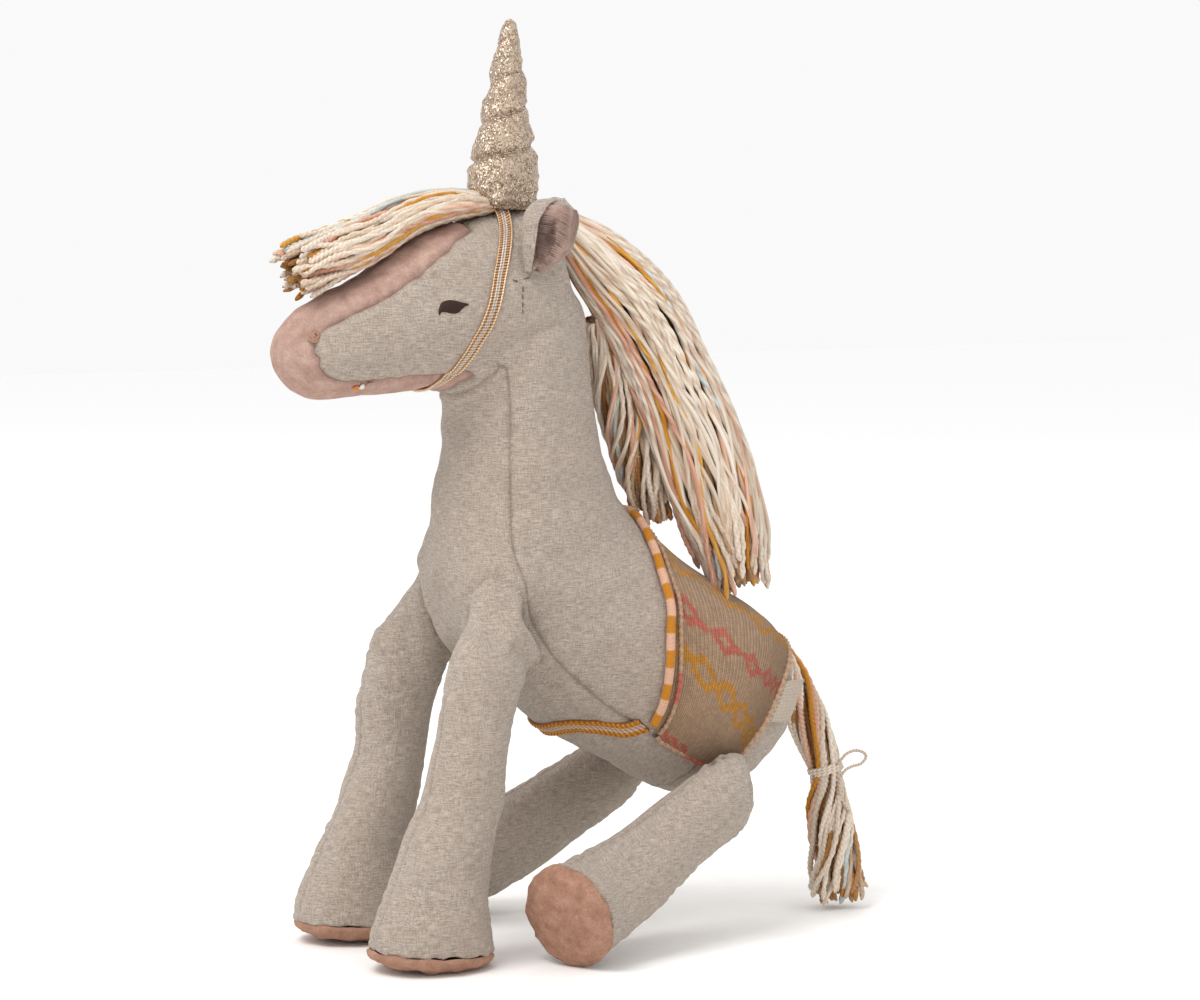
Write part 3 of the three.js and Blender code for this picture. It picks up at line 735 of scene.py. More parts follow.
# The leg's top, flattened and sewn to the body: [centre, across, along the seam], before the loft's own sections.
FRONT_TOP = [
    [22.6, -22.8, 110.5, 1.2, 0, 0, 0.3, -8.0, 13.0],
    [27.4, -25.2, 110.0, 6.2, 0, 1.6, 0.5, -8.6, 12.4],
    [29.6, -34.6, 100.5, 9.8, 0, 1.0, 0, -12.0, 6.0],
    [29.0, -39.8, 85.0, 11.7, 0, 0, 0, -13.0, 3.2],
]
HIND_TOP = [
    [33, 61.5, 54.5, 2.6, 0, 0.5, 0, -1.5, 7.5],
    [36, 56.5, 52, 8.6, 0.6, 0, 0, -2.5, 11.4],
    [37, 49, 47.5, 10.8, 0.4, 0, 0, -4.5, 12.6],
]


class Rings(Loft):
    """A surface through rings that each have their own across and up vectors."""

    def __init__(self, loft, top, first):
        count = len(loft.rows) - 2
        ts = np.arange(first, count) / (count - 1)
        centre, _, side, up, wide, deep = loft.frames(ts)
        lower = np.hstack([centre, side * wide[:, None], up * deep[:, None]])
        super().__init__(np.vstack([np.array(top, float), lower]))

    def place(self, t, degrees, lift=0.0):
        row = self.sample(t)
        a = np.radians(degrees)
        u, v = row[:, 3:6], row[:, 6:9]
        u = u * (1 + lift / np.maximum(np.linalg.norm(u, axis=1), 2))[:, None]
        v = v * (1 + lift / np.maximum(np.linalg.norm(v, axis=1), 2))[:, None]
        return row[:, :3] + u * np.cos(a)[:, None] + v * np.sin(a)[:, None]


def sole_points(loft, sides, thick, flat):
    """A crowned sole on the leg's end, cut flat where it stands."""
    centre, along, side, up, wide, deep = (v[0] for v in loft.frames([1.0]))
    a = np.arange(sides) * 2 * math.pi / sides
    points = []
    for share in np.concatenate([[1.0, 1.0, 0.985], np.cos(np.linspace(0.32, math.pi / 2, 22))]):
        rise = thick * (1 - share**2.6) ** 0.55
        row = centre + side * (wide * share * np.cos(a))[:, None] + up * (deep * share * np.sin(a))[:, None]
        points.append(row + along * rise)
    points[0] = points[0] - along * 0.9 + (centre - points[0]) * 0.05
    points = np.vstack(points)
    points[:, 2] = np.maximum(points[:, 2], flat)
    return points, grid_faces(len(points) // sides, sides, True)


def leg_shape(loft, top, first):
    """A leg's stuffed skin: its points and triangles, and each point's place (0 is the top) and ring angle."""
    rings = Rings(loft, top, first)
    steps, sides = 40, 30
    t, degrees = grid_of(np.linspace(0, 1, steps), np.arange(sides) * 360 / sides)
    obj = closed_object("leg", [(rings.place(t, degrees, -0.6), grid_faces(steps, sides, True), steps)])
    held = np.where((t < 0.03) | (t > 0.96), 1.0, np.clip(1 - np.minimum(t, 1 - t) / 0.05, 0, 1))
    points, triangles = stuffed(obj, 3.5, 1.8, held=held)
    t, degrees = grid_of(np.linspace(0, 1, 160), np.arange(90) * 4.0)
    which = nearest(points, rings.place(t, degrees))[1]
    return points, triangles, t[which], (degrees[which] + 90) % 360 - 90


def merge_share(place, angle):
    """How far a leg's top runs smoothly into the body: at its front and inner side, not at its back."""
    return ease((angle + 5) / 45) * ease((262 - angle) / 45) * ease((0.6 - place) / 0.15)


def evened(values, triangles, rounds):
    """Values on a mesh's points, evened out over its triangles."""
    edges = edges_of(triangles)
    ends, starts = np.concatenate([edges, edges[:, ::-1]]).T
    count = np.maximum(np.bincount(ends, minlength=len(values)), 1)
    for _ in range(rounds):
        sums = [np.bincount(ends, values[starts, k], len(values)) for k in range(values.shape[1])]
        values = 0.4 * values + 0.6 * np.stack(sums, 1) / count[:, None]
    return values


def run_together(points, normals, near, other, size, rounds, triangles, own_share=None):
    """Lifts a surface where it comes near another one, so that the two run into each other without a line."""
    tree, corners, other_normals, share = other
    lift = np.zeros((len(points), 3))
    for i in near:
        spot, facing, face, away = tree.find_nearest(Vector(points[i]), size)
        if spot is None:
            continue
        weight = own_share[i] if own_share is not None else share[corners[face]].mean()
        away = away / size if (Vector(points[i]) - spot).dot(facing) > 0 else 0.0
        mixed = normals[i] * (0.5 + 0.5 * away) + other_normals[corners[face]].mean(0) * (0.5 - 0.5 * away)
        lift[i] = mixed * (weight * size / 3.2 * (1 - away) ** 2 / max(mixed @ mixed, 0.4))
    return points + evened(lift, triangles, rounds)


skin_object = closed_object("body", [TORSO.closed(1.3, 56, 44), HEAD.closed(1.1, 26, 36)])
body, body_triangles = stuffed(skin_object, 4.0, 2.4, voxel=4.5)
for field in (blaze_field, gusset_field, lambda p: p[:, 0]):
    body, body_triangles = cut(body, body_triangles, field(body))
centres = body[body_triangles].mean(1)
region = np.where(centres[:, 0] > 0, 0, 1)
region = np.where(gusset_field(centres) > 0, 2, region)
region = np.where(blaze_field(centres) > 0, 3, region)


def borders(triangles, labels):
    """The points on edges between triangles of different labels."""
    edges = edges_of(triangles)
    edges.sort(axis=1)
    owner = np.tile(labels, 3)
    order = np.lexsort((edges[:, 1], edges[:, 0]))
    edges, owner = edges[order], owner[order]
    same = (edges[1:] == edges[:-1]).all(1) & (owner[1:] != owner[:-1])
    return np.unique(edges[1:][same])


seam_points = borders(body_triangles, region)
seam_away = nearest(body, body[seam_points])[0]
normals = point_normals(body, body_triangles)
lumps = 0.55 * waves(body, 52, 3) + 0.28 * waves(body, 21, 4) + 0.1 * waves(body, 8, 5)
pucker = 0.28 * waves(body, 6.5, 6) * np.exp(-seam_away / 4.5)
velour_edge = borders(body_triangles, np.where(region == 3, 1, 0))
near_velour = np.exp(-((nearest(body, body[velour_edge])[0] / 3) ** 2))
sink = (0.55 + 0.5 * near_velour) * np.exp(-((seam_away / (0.95 + 0.3 * near_velour)) ** 2))
sink -= (0.14 + 0.2 * near_velour) * np.exp(-(((seam_away - 4.0) / 2.4) ** 2))
body = body + normals * (lumps + pucker - sink)[:, None]
body = groove(body, normals, path_on(HEAD, ELASTIC_PLACE), 0.8, 3.4, 0)
FOLDS = [
    (TORSO, [[1.02, 30], [0.97, -2], [0.93, -30]], 1.5, 2.2),       # under the jaw
    (TORSO, [[0.45, -8], [0.40, -22], [0.36, -34]], 0.5, 3.0),
    (TORSO, [[0.30, 8], [0.26, -14], [0.25, -34]], 0.45, 3.5),
    (TORSO, [[0.62, 30], [0.6, 0], [0.56, -24]], 0.35, 4.0),
]
for loft, places, depth, width in FOLDS:
    for flip in (False, True):
        line = path_on(loft, places)
        line = line * [-1, 1, 1] if flip else line
        body = groove(body, normals, line, depth, width)


def on_side(points, tree):
    """Points moved along X onto the near flank."""
    hits = [tree.ray_cast(Vector((90, p[1], p[2])), Vector((-1, 0, 0)))[0] for p in points]
    return np.array([h if h is not None else Vector(p) for h, p in zip(hits, points)])


EAR_DART = [[24, -18.4, 226], [24, -18.8, 221], [24, -19.6, 217], [24, -20.2, 213]]
side_tree = surface_tree(body, body_triangles)
for flip in (1, -1):
    line = on_side(spline(EAR_DART, 60), side_tree) * [flip, 1, 1]
    body = groove(body, normals, line, 0.45, 0.8, 4)
plain_normals = point_normals(body, body_triangles)
FRONT_SHAPE = leg_shape(FRONT_LEG, FRONT_TOP, 3)
HIND_SHAPE = leg_shape(HIND_LEG, HIND_TOP, 2)
SHOULDER = 27.0                                           # how widely a front leg runs into the chest
leg_points, leg_triangles, place, angle = FRONT_SHAPE
flat_body = body.copy()
BODY_SIDE = (surface_tree(body, body_triangles), body_triangles, plain_normals, None)
for flip in (1, -1):
    side = np.array([flip, 1, 1])
    leg = leg_points * side
    corners = leg_triangles if flip > 0 else leg_triangles[:, ::-1]
    other = (surface_tree(leg, corners), corners, point_normals(leg, corners), merge_share(place, angle))
    near = np.flatnonzero((np.abs(flat_body[:, 2] - 100) < 50) & (flat_body[:, 1] < 5) & (flat_body[:, 0] * flip > 0))
    body += run_together(flat_body, plain_normals, near, other, SHOULDER, 14, body_triangles) - flat_body
swelling = 2.8 * np.exp(-((body[:, 0] / 17) ** 2) - ((body[:, 1] + 9) / 15) ** 2) * ease((body[:, 2] - 228) / 12)
body[:, 2] += swelling                                    # the crown, where the horn stands
body_normals = point_normals(body, body_triangles)
SKIN = surface_tree(body, body_triangles)
# Painted shade in the sunken seam lines, which the materials darken.
seam_shade = np.exp(-((seam_away / 0.5) ** 2)) * 0.9


def surface_attributes(points, grain, seam):
    return {"rest": metres(points) * 1000, "grain": grain, "seam": seam}


for label, (name, material, slot, stands_for) in enumerate([
    ("body_side_left", LINEN, "linen", ["side_panel_left", "body_stuffing"]),
    ("body_side_right", LINEN, "linen", ["side_panel_right"]),
    ("body_under_gusset", LINEN, "linen", ["under_gusset"]),
    ("body_face_blaze", VELOUR, "velour", ["face_blaze"]),
]):
    own, faces, grain, seam = part_of(body, body_triangles, region == label, body_normals, seam_shade)
    piece = mesh_object(name, own, faces, material, **surface_attributes(own, grain, seam))
    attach(piece, "torso")
    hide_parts(*stands_for)

# ---------------------------------------------------------------- legs
def make_leg(kind, loft, shape, seeds, sole):
    """Both legs of a pair: skins that stay sewn to the body at the top, and their soles."""
    skin, triangles, ring_place, ring_angle = shape
    hind = kind == "hind_leg"
    if not hind:
        own_share = merge_share(ring_place, ring_angle)
        skin = run_together(skin, point_normals(skin, triangles), np.flatnonzero(own_share > 0.01), BODY_SIDE,
                            SHOULDER, 6, triangles, own_share)
        sink = np.zeros((len(skin), 3))
        for i in np.flatnonzero(ring_place < 0.33):
            spot, facing, _, away = SKIN.find_nearest(Vector(skin[i]))
            out = math.copysign(away, (Vector(skin[i]) - spot).dot(facing))
            front = float(ease((ring_angle[i] + 5) / 45) * ease((262 - ring_angle[i]) / 45))
            share = front * float(ease((0.32 - ring_place[i]) / 0.22))
            share += (1 - front) * 0.35 * float(ease((0.15 - ring_place[i]) / 0.12))
            sink[i] = np.array(facing) * min(-1.2 - out, 0) * share
        skin = skin + evened(sink, triangles, 4)
    behind = ease((10 - ring_angle) / 30) * ease((ring_angle + 92) / 30)
    sole_mesh = sole_points(loft, 72, *sole)
    for flip, seed, hand in zip((1, -1), seeds, ("left", "right")):
        own = skin * [flip, 1, 1]
        faces = triangles if flip > 0 else triangles[:, ::-1]
        grain = point_normals(own, faces)
        place, x, up, half, deep = loft.locate(skin)
        angle = np.degrees(np.arctan2(up / deep, x / half))
        seam_gap = np.abs(angle - 88) * math.pi / 180 * deep
        front = np.exp(-((seam_gap / 0.9) ** 2)) * ease((place - 0.3) / 0.1)
        end_gap = np.clip(1 - place, 0, 1) * (88 if hind else 105)
        bend = 0.9 + 0.5 * waves(own, 30, seed + 5)
        crumple = creases(own, 10, seed, (1, 1, 0.6)) * 0.75 + creases(own, 5.5, seed + 1, (1, 1, 0.7)) * 0.35
        shift = 0.45 * waves(own, 26, seed + 2) - crumple * bend * 0.62 + 0.5 - 0.5 * front
        shift += 0.3 * waves(own, 5, seed + 3) * np.exp(-end_gap / 5)
        shift *= ease(place / 0.08) * 0.75 + 0.25
        shift -= 0.7 * np.exp(-((end_gap / 1.1) ** 2))
        if hind:
            shift -= 0.9 * np.exp(-(((ring_place - 0.16) / 0.03) ** 2)) * (0.5 + 0.5 * np.cos(ring_angle * 0.09))
        else:
            shift += behind * (0.9 * np.exp(-(((ring_place - 0.12) / 0.05) ** 2)) -
                               1.9 * np.exp(-(((ring_place - 0.235) / 0.045) ** 2)))
        own = own + grain * shift[:, None]
        own[:, 2] = np.maximum(own[:, 2], 0.25)
        grain = point_normals(own, faces)
        pinched = np.zeros(len(own))
        if hind:
            away = np.linalg.norm(own - np.array([38, 49, 57]) * [flip, 1, 1], axis=1)
            own = own + grain * ((0.9 * waves(own, 4.5, seed + 6) + 0.5) * np.exp(-((away / 6) ** 2)))[:, None]
            tree = surface_tree(own, faces)
            for line in HIP_PINCHES:
                row = np.array([tree.find_nearest(Vector(p))[0] for p in spline(line, 30) * [flip, 1, 1]])
                own = groove(own, grain, row, 3.4, 1.25, 1.5)
                pinched = np.maximum(pinched, np.exp(-((nearest(own, row)[0] / 1.5) ** 2)))
            grain = point_normals(own, faces)
        # Painted shade: darker in the sunken front seam, round the join to the sole and in the hip pinches.
        seam = np.maximum(0.75 * np.exp(-((seam_gap / 0.45) ** 2)) * ease((place - 0.3) / 0.1),
                          np.exp(-((end_gap / 0.8) ** 2)))
        seam = np.maximum(seam, 1.6 * pinched)
        piece = mesh_object(f"{kind}_skin_piece_{hand}", own, faces, LINEN, **surface_attributes(own, grain, seam))
        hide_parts(f"{kind}_skin_{hand}", f"{kind}_stuffing_{hand}")
        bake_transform(piece)
        points = sole_mesh[0] * [flip, 1, 1]
        quads = sole_mesh[1] if flip > 0 else sole_mesh[1][:, ::-1]
        halves = split_quads(quads)
        grain = point_normals(points, halves)
        points = points + grain * (0.22 * waves(points, 9, seed + 8) + 0.12 * waves(points, 3, seed + 9))[:, None]
        points[:, 2] = np.maximum(points[:, 2], 0.05)
        piece = mesh_object(f"{kind}_sole_piece_{hand}", points, quads, SOLE,
                            **surface_attributes(points, point_normals(points, halves), np.zeros(len(points))))
        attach(piece, f"{kind}_{hand}")
        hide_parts(f"{kind}_sole_{hand}")


HIP_PINCHES = [[[37, 45.6, 57.1], [37.5, 48.3, 54.6]], [[37, 51.8, 57.5], [37.5, 50.2, 54.5]]]
make_leg("front_leg", FRONT_LEG, FRONT_SHAPE, (31, 47), (5.4, 0.05))
make_leg("hind_leg", HIND_LEG, HIND_SHAPE, (61, 77), (5.4, 0.05))


# ---------------------------------------------------------------- helpers for what lies on the body
def on_skin(points, out, lift):
    """Each point moved along its out direction to lie that far over the stuffed body."""
    found = []
    for p, d in zip(points, out):
        hit = SKIN.ray_cast(Vector(p + d * 14), Vector(-d), 30)[0]
        found.append(p if hit is None else hit)
    return np.array(found) + out * np.reshape(lift, (-1, 1) if np.ndim(lift) else (1, 1))


def unit(v):
    return v / np.maximum(np.linalg.norm(v, axis=-1, keepdims=True), 1e-9)


def smooth_rows(points, rounds):
    """Evens out a row of points, keeping its ends."""
    points = points.copy()
    for _ in range(rounds):
        points[1:-1] = (points[:-2] + 2 * points[1:-1] + points[2:]) / 4
    return points


def sweep(centres, across, out, section):
    """A tube: section holds (across, out) offsets, the same at each centre or one set for each."""
    section = np.broadcast_to(section, (len(centres),) + np.shape(section)[-2:])
    points = centres[:, None] + across[:, None] * section[..., :1] + out[:, None] * section[..., 1:]
    return points.reshape(-1, 3), grid_faces(len(centres), section.shape[1], True)


def lengths(points):
    return np.concatenate([[0], np.cumsum(np.linalg.norm(np.diff(points, axis=0), axis=1))])


def piece(name, points, faces, material, body, slot, nodes=(), **more):
    """A piece with the attributes the materials read, riding on its body; with several bodies given, it is only fixed
    in place.
    """
    halves = split_quads(faces) if faces.shape[1] == 4 else faces
    values = surface_attributes(points, point_normals(points, halves), more.pop("seam", np.zeros(len(points))))
    obj = mesh_object(name, points, faces, material, **values, **more)
    if isinstance(body, tuple):
        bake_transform(obj)
    else:
        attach(obj, body)
    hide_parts(*nodes)
    return obj


def joined(parts):
    """Several (points, faces, tone...) sets as one."""
    bases = np.cumsum([0] + [len(p[0]) for p in parts])
    faces = np.vstack([p[1] + b for p, b in zip(parts, bases)])
    values = [np.concatenate([p[k] for p in parts]) for k in range(2, len(parts[0]))]
    return (np.vstack([p[0] for p in parts]), faces, *values)


def twisted(s, sides, radius, ply, pitch, start=0.0):
    """Ring offsets, at distances s along a yarn, of plies twisted round each other; and the ply height."""
    a = np.arange(sides) * 2 * math.pi / sides
    wave = np.cos(2 * (a[None] - (2 * math.pi * s / pitch + start)[:, None]))
    r = np.reshape(radius, (-1, 1)) * (1 + ply * wave)
    return np.stack([r * np.cos(a), r * np.sin(a)], -1), (0.5 + 0.5 * wave).ravel()


def lying_frames(centres, out):
    """The directions across a line that lies on a surface, and out of the surface."""
    tangent = unit(np.gradient(centres, axis=0))
    across = unit(np.cross(out, tangent))
    return across, np.cross(tangent, across)


def tube(path, radius, sides=6, ply=0.16, pitch=3.4, start=0.0, reference=(1, 0.1, 0.05)):
    """A yarn or thread along a path, of plies twisted round each other. Returns points, faces and ply height."""
    tangent = unit(np.gradient(path, axis=0))
    across = unit(np.cross(tangent, np.array(reference, float)))
    out = np.cross(across, tangent)
    section, height = twisted(lengths(path), sides, radius, ply, pitch, start)
    return (*sweep(path, across, out, section), height)


def coil(centre, out, turns, radius, wire, seed=0, low=0.15, rise=0.9):
    """A small knot of thread, wound round itself on the surface."""
    out = np.array(out, float)
    e1 = unit(np.cross(out, [0.2, 0.3, 1.0]))
    e2 = np.cross(out, e1)
    s = np.linspace(0, 1, int(26 * turns))
    a = s * turns * 2 * math.pi + seed
    r = radius * (1 - 0.8 * s)
    path = centre + e1 * (r * np.cos(a))[:, None] + e2 * (r * np.sin(a))[:, None]
    path = path + out * (low + rise * s**0.8)[:, None]
    ends = wire * np.clip(np.minimum(s, 1 - s) * 22 + 0.15, 0, 1)
    return tube(path, ends, 8, reference=out + 0.01)[:2]


# ---------------------------------------------------------------- face
def tone_of(code, count):
    return np.tile(colour(code), (count, 1))


EYE_TOP = [-2.3, 0.2, 1.8, 2.35, 2.5, 2.2, 1.6, 1.0, 0.6]
EYE_LOW = [-3.4, -1.9, -2.0, -2.5, -2.7, -2.3, -1.2, -0.2, 0.2]
for flip, hand in HANDS:
    centre = HEAD.place([0.425], [9.0])
    out = HEAD.out([0.425], [9.0])
    along = HEAD.frames([0.425])[1]
    upward = unit(np.cross(along, out))
    u, v = grid_of(np.linspace(0, 1, 64), np.linspace(0, 1, 14))
    top, low = (np.repeat(spline(np.array(edge)[:, None], 64)[:, 0], 14) for edge in (EYE_TOP, EYE_LOW))
    flat = centre + along * ((0.5 - u) * 11.6)[:, None] + upward * (low + (top - low) * v - 2.4 * (u - 0.5))[:, None]
    stitch = 0.5 + 0.5 * np.cos(2 * math.pi * u * 8.6 / 0.62)
    dome = np.sqrt(np.clip(1 - (2 * v - 1) ** 2, 0, 1)) * np.clip(np.minimum(u, 1 - u) * 14, 0.1, 1)
    points = on_skin(flat, np.repeat(out, len(flat), 0), -0.25 + dome * (0.75 + 0.16 * stitch))
    points[:, 0] *= flip
    piece(f"eye_stitched_{hand}", points, grid_faces(64, 14), EYE, "torso", "eye", [f"eye_{hand}"])
    nostril = on_skin(HEAD.place([1.3], [32.0]), HEAD.out([1.2], [32.0]), -0.2)
    knot = joined([coil(nostril, HEAD.out([1.2], [32.0])[0], 2.4, 2.2, 0.62)])
    piece(f"nostril_knot_{hand}", knot[0] * [flip, 1, 1], knot[1], KNOT, "torso", "knot", [f"nostril_{hand}"])
    mouth = []
    for k, (t, code) in enumerate(((0.93, "c97c35"), (0.895, "e2dace"), (0.85, "a8908a"))):
        at = on_skin(HEAD.place([t], [-49.0]), HEAD.out([t], [-49.0]), 0.0)
        bead = coil(at, HEAD.out([t], [-49.0])[0], 2.2, 0.85, 0.42, seed=k)
        mouth.append((*bead, tone_of(code, len(bead[0])), np.ones(len(bead[0]))))
    points, faces, tone, ply = joined(mouth)
    piece(f"mouth_knots_{hand}", points * [flip, 1, 1], faces, YARN, "torso", "knot", [f"mouth_knot_{hand}"],
          tone=tone, ply=ply)

# ---------------------------------------------------------------- ears
EAR_CURVES = [                                            # from the front rim over the fold to the rear rim
    [[23.5, -16.3, 227.3], [26.3, -16.7, 232.6], [27.3, -16.5, 239.2], [27.0, -15.2, 244.7], [25.5, -11.4, 248.9],
     [23.5, -6.1, 251.1]],
    [[22.3, -17.2, 227.6], [22.6, -18.2, 233.4], [22.6, -19.2, 239.1], [22.4, -18.6, 244.9], [22.4, -15.4, 248.9],
     [22.9, -7.6, 251.7]],
    [[22.8, -15.2, 227.6], [24.0, -13.2, 232.4], [24.4, -11.6, 238.8], [24.3, -10.4, 244.3], [23.8, -8.0, 248.4],
     [23.1, -5.5, 251.2]],
    [[23.6, -14.4, 227.4], [25.9, -10.4, 231.2], [27.0, -7.4, 237.4], [26.8, -5.8, 243.4], [25.4, -4.4, 248.0],
     [23.5, -4.4, 251.1]],
    [[23.6, -14.6, 227.6], [25.2, -7.0, 230.2], [25.8, -2.0, 235.2], [25.4, 0.3, 240.8], [23.9, 0.0, 246.9],
     [23.0, -4.2, 251.3]],
]
EAR_KNOTS = [0, 0.2, 0.42, 0.72, 1]


def ear_surface(u, s):
    """The folded leaf: u from the foot to the tip, s from the front edge over the fold to the rear edge."""
    grid = np.array([spline(curve, 81) for curve in EAR_CURVES])
    fine = spline(grid, 81)
    knots = np.interp(np.linspace(0, 1, 81), np.linspace(0, 1, 5), EAR_KNOTS)
    x, y = np.interp(s, knots, np.arange(81)), np.clip(u, 0, 1) * 80
    i, j = np.clip(x.astype(int), 0, 79), np.clip(y.astype(int), 0, 79)
    a, b = (x - i)[:, None], (y - j)[:, None]
    shape = (fine[i, j] * (1 - a) * (1 - b) + fine[i + 1, j] * a * (1 - b) + fine[i, j + 1] * (1 - a) * b
             + fine[i + 1, j + 1] * a * b)
    crease = 0.9 * np.exp(-(((s - 0.56) / 0.05) ** 2)) * ease(u / 0.15) * ease((0.9 - u) / 0.3)
    return shape - np.array([0.86, -0.42, 0.2]) * crease[:, None]


LINEN_ROWS, LINEN_COLUMNS = 40, 36
LINING_ROWS, LINING_COLUMNS = 44, 48
LINING_FACE_COLUMNS = 40                                  # not LINING_COLUMNS: a known fault, the faces lie askew


def ear_grid(nu, ns, s_low, s_high, u_high):
    u, s = grid_of(np.linspace(0, u_high, nu), np.linspace(s_low, s_high, ns))
    shape = ear_surface(u, s).reshape(nu, ns, 3)
    for _ in range(5):
        shape[:, 1:-1] = (shape[:, :-2] + 2 * shape[:, 1:-1] + shape[:, 2:]) / 4
        shape[1:-1] = (shape[:-2] + 2 * shape[1:-1] + shape[2:]) / 4
    normal = np.cross(np.gradient(shape, axis=1), np.gradient(shape, axis=0))
    return u, s, shape.reshape(-1, 3), unit(normal.reshape(-1, 3) + [1e-6, 0, 0])


for flip, hand in HANDS:
    u, s, points, out = ear_grid(LINEN_ROWS, LINEN_COLUMNS, 0.0, 1.0, 0.995)
    out = out * np.sign((out * [1, -0.3, 0.3]).sum(1).mean())
    edge = np.clip(1 - np.abs(2 * s - 1) ** 7, 0, 1) ** 0.5 * np.clip(1 - u**9, 0, 1) ** 0.5
    ripple = 0.3 * waves(points, 9, 12)
    roll = 0.9 * np.exp(-((s / 0.05) ** 2)) + 0.5 * np.exp(-(((1 - s) / 0.03) ** 2))
    face_side = points + out * (edge * 0.6 + ripple + roll * 0.75 - 0.35)[:, None]
    back_side = points - out * (edge * 1.1 - ripple + roll * 0.2)[:, None]
    quads = grid_faces(LINEN_ROWS, LINEN_COLUMNS)
    both = joined([(face_side * [flip, 1, 1], quads), (back_side * [flip, 1, 1], quads[:, ::-1])])
    # Painted shade in a line near the ear's front rim.
    seam = np.concatenate([0.6 * np.exp(-(((s - 0.12) / 0.02) ** 2)), np.zeros(len(s))])
    piece(f"ear_linen_{hand}", both[0], both[1], LINEN, f"ear_{hand}", "linen", [f"ear_outer_{hand}"], seam=seam)
    u, s, points, out = ear_grid(LINING_ROWS, LINING_COLUMNS, 0.05, 0.975, 0.955)
    out = out * np.sign((out * [1, -0.3, 0.3]).sum(1).mean())
    rim = np.clip(np.minimum((s - 0.05) / 0.05, (0.975 - s) / 0.03), 0, 1) ** 0.5
    tuck = 0.25 * waves(points, 11, 14) * np.exp(-(((s - 0.45) / 0.2) ** 2))
    points = points + out * (0.3 + 0.85 * rim + 0.3 * waves(points, 9, 12) + np.maximum(tuck, -0.15))[:, None]
    # Painted shade along the lining's middle fold.
    fold_shade = 0.9 * np.exp(-(((s - 0.56) / 0.03) ** 2)) * ease((u - 0.06) / 0.1) * ease((0.9 - u) / 0.25)
    piece(f"ear_velour_{hand}", points * [flip, 1, 1], grid_faces(LINING_ROWS, LINING_FACE_COLUMNS), LINING,
          f"ear_{hand}", "velour", [f"ear_lining_{hand}"], seam=fold_shade)

# Thread at the ears' feet, the shoulders and the hips: short stitches across the joins.
STITCHES = {
    "ear_thread": ([[[24, -22.4, 224.4], [24, -20.6, 223.8]], [[24, -18.4, 224.6], [24, -15.8, 225.2]],
                    [[24, -18.8, 222.2], [24, -19.1, 220.4]], [[24, -19.2, 219.6], [24, -19.5, 217.9]],
                    [[24, -19.6, 217.1], [24, -19.9, 215.5]], [[24, -20.0, 214.8], [24, -20.1, 213.6]]], None),
    "shoulder_thread": ([[[25, -31.2, 123.4], [25, -29.6, 121.4]], [[25, -28.4, 119.9], [25, -26.8, 117.9]],
                         [[25, -25.6, 116.4], [25, -23.9, 114.4]], [[25, -22.7, 112.9], [25, -20.9, 110.9]]],
                        "shoulder_stitches"),
    "hip_thread": ([[[34, 64.5, 58.5], [34, 63.2, 61.5]], [[34, 62.6, 58.6], [34, 61.0, 61.2]],
                    [[34, 60.4, 58.4], [34, 59.0, 60.8]]], "hip_stitches"),
}
for name, (lines, node) in STITCHES.items():
    for flip, hand in HANDS:
        parts = []
        for line in lines:
            w = np.linspace(-1, 1, 11)
            path = on_side(spline(line, 11), SKIN) + np.stack([0.2 - 0.45 * w**2, 0 * w, 0 * w], 1)
            parts.append(tube(path, 0.26, 6)[:2])
        points, faces = joined(parts)
        piece(f"{name}_{hand}", points * [flip, 1, 1], faces, THREAD, "torso", "thread",
              [f"{node}_{hand}"] if node else [])

# ---------------------------------------------------------------- horn
HORN_CENTRE, HORN_TILT, HORN_HEIGHT, HORN_TURNS = np.array([0, -14.6, 251]), math.radians(-3), 59.6, 4.6
HORN_OUTLINE = np.array([[10.6, 0], [11.8, 1.6], [12, 4.5], [11.2, 11], [9, 21], [7.2, 32], [5.2, 44], [3.4, 53],
                         [1.8, 58.2], [0.05, 59.5]])


def horn_place(x, y, z):
    c, s = math.cos(HORN_TILT), math.sin(HORN_TILT)
    return np.stack([x, y * c - z * s, y * s + z * c], -1) + HORN_CENTRE


outline = spline(np.vstack([[0.3, -3.6], [6.6, -3.5], [10.2, -2.4], HORN_OUTLINE[1:]]), 320)
a = np.arange(120) * 2 * math.pi / 120
z, angle = np.meshgrid(outline[:, 1], a, indexing="ij")
r = np.repeat(outline[:, :1], len(a), 1)
phase = angle - 2 * math.pi * HORN_TURNS * z / HORN_HEIGHT + 1.2
gap = np.abs((phase + math.pi) % (2 * math.pi) - math.pi) / (2 * math.pi)
fade = ease((z - 3) / 6) * ease((HORN_HEIGHT - 2 - z) / 6)
belly = np.sqrt(np.clip(np.sin(math.pi * gap + 0.02), 0, 1))
r = r * (1 - fade * (0.1 * np.exp(-((gap / 0.09) ** 2)) + 0.05 - 0.08 * belly))
flat = horn_place(r * np.cos(angle), r * np.sin(angle), z).reshape(-1, 3)
spread = np.clip(r / 6, 0.15, 1).ravel()
axis = unit(flat - horn_place(0 * z, 0 * z, z).reshape(-1, 3))
flat = flat + axis * ((0.25 * waves(flat, 7, 21) + 0.12 * waves(flat, 3, 22)) * spread)[:, None]
flat[:, 2] = np.minimum(flat[:, 2], 311.1)
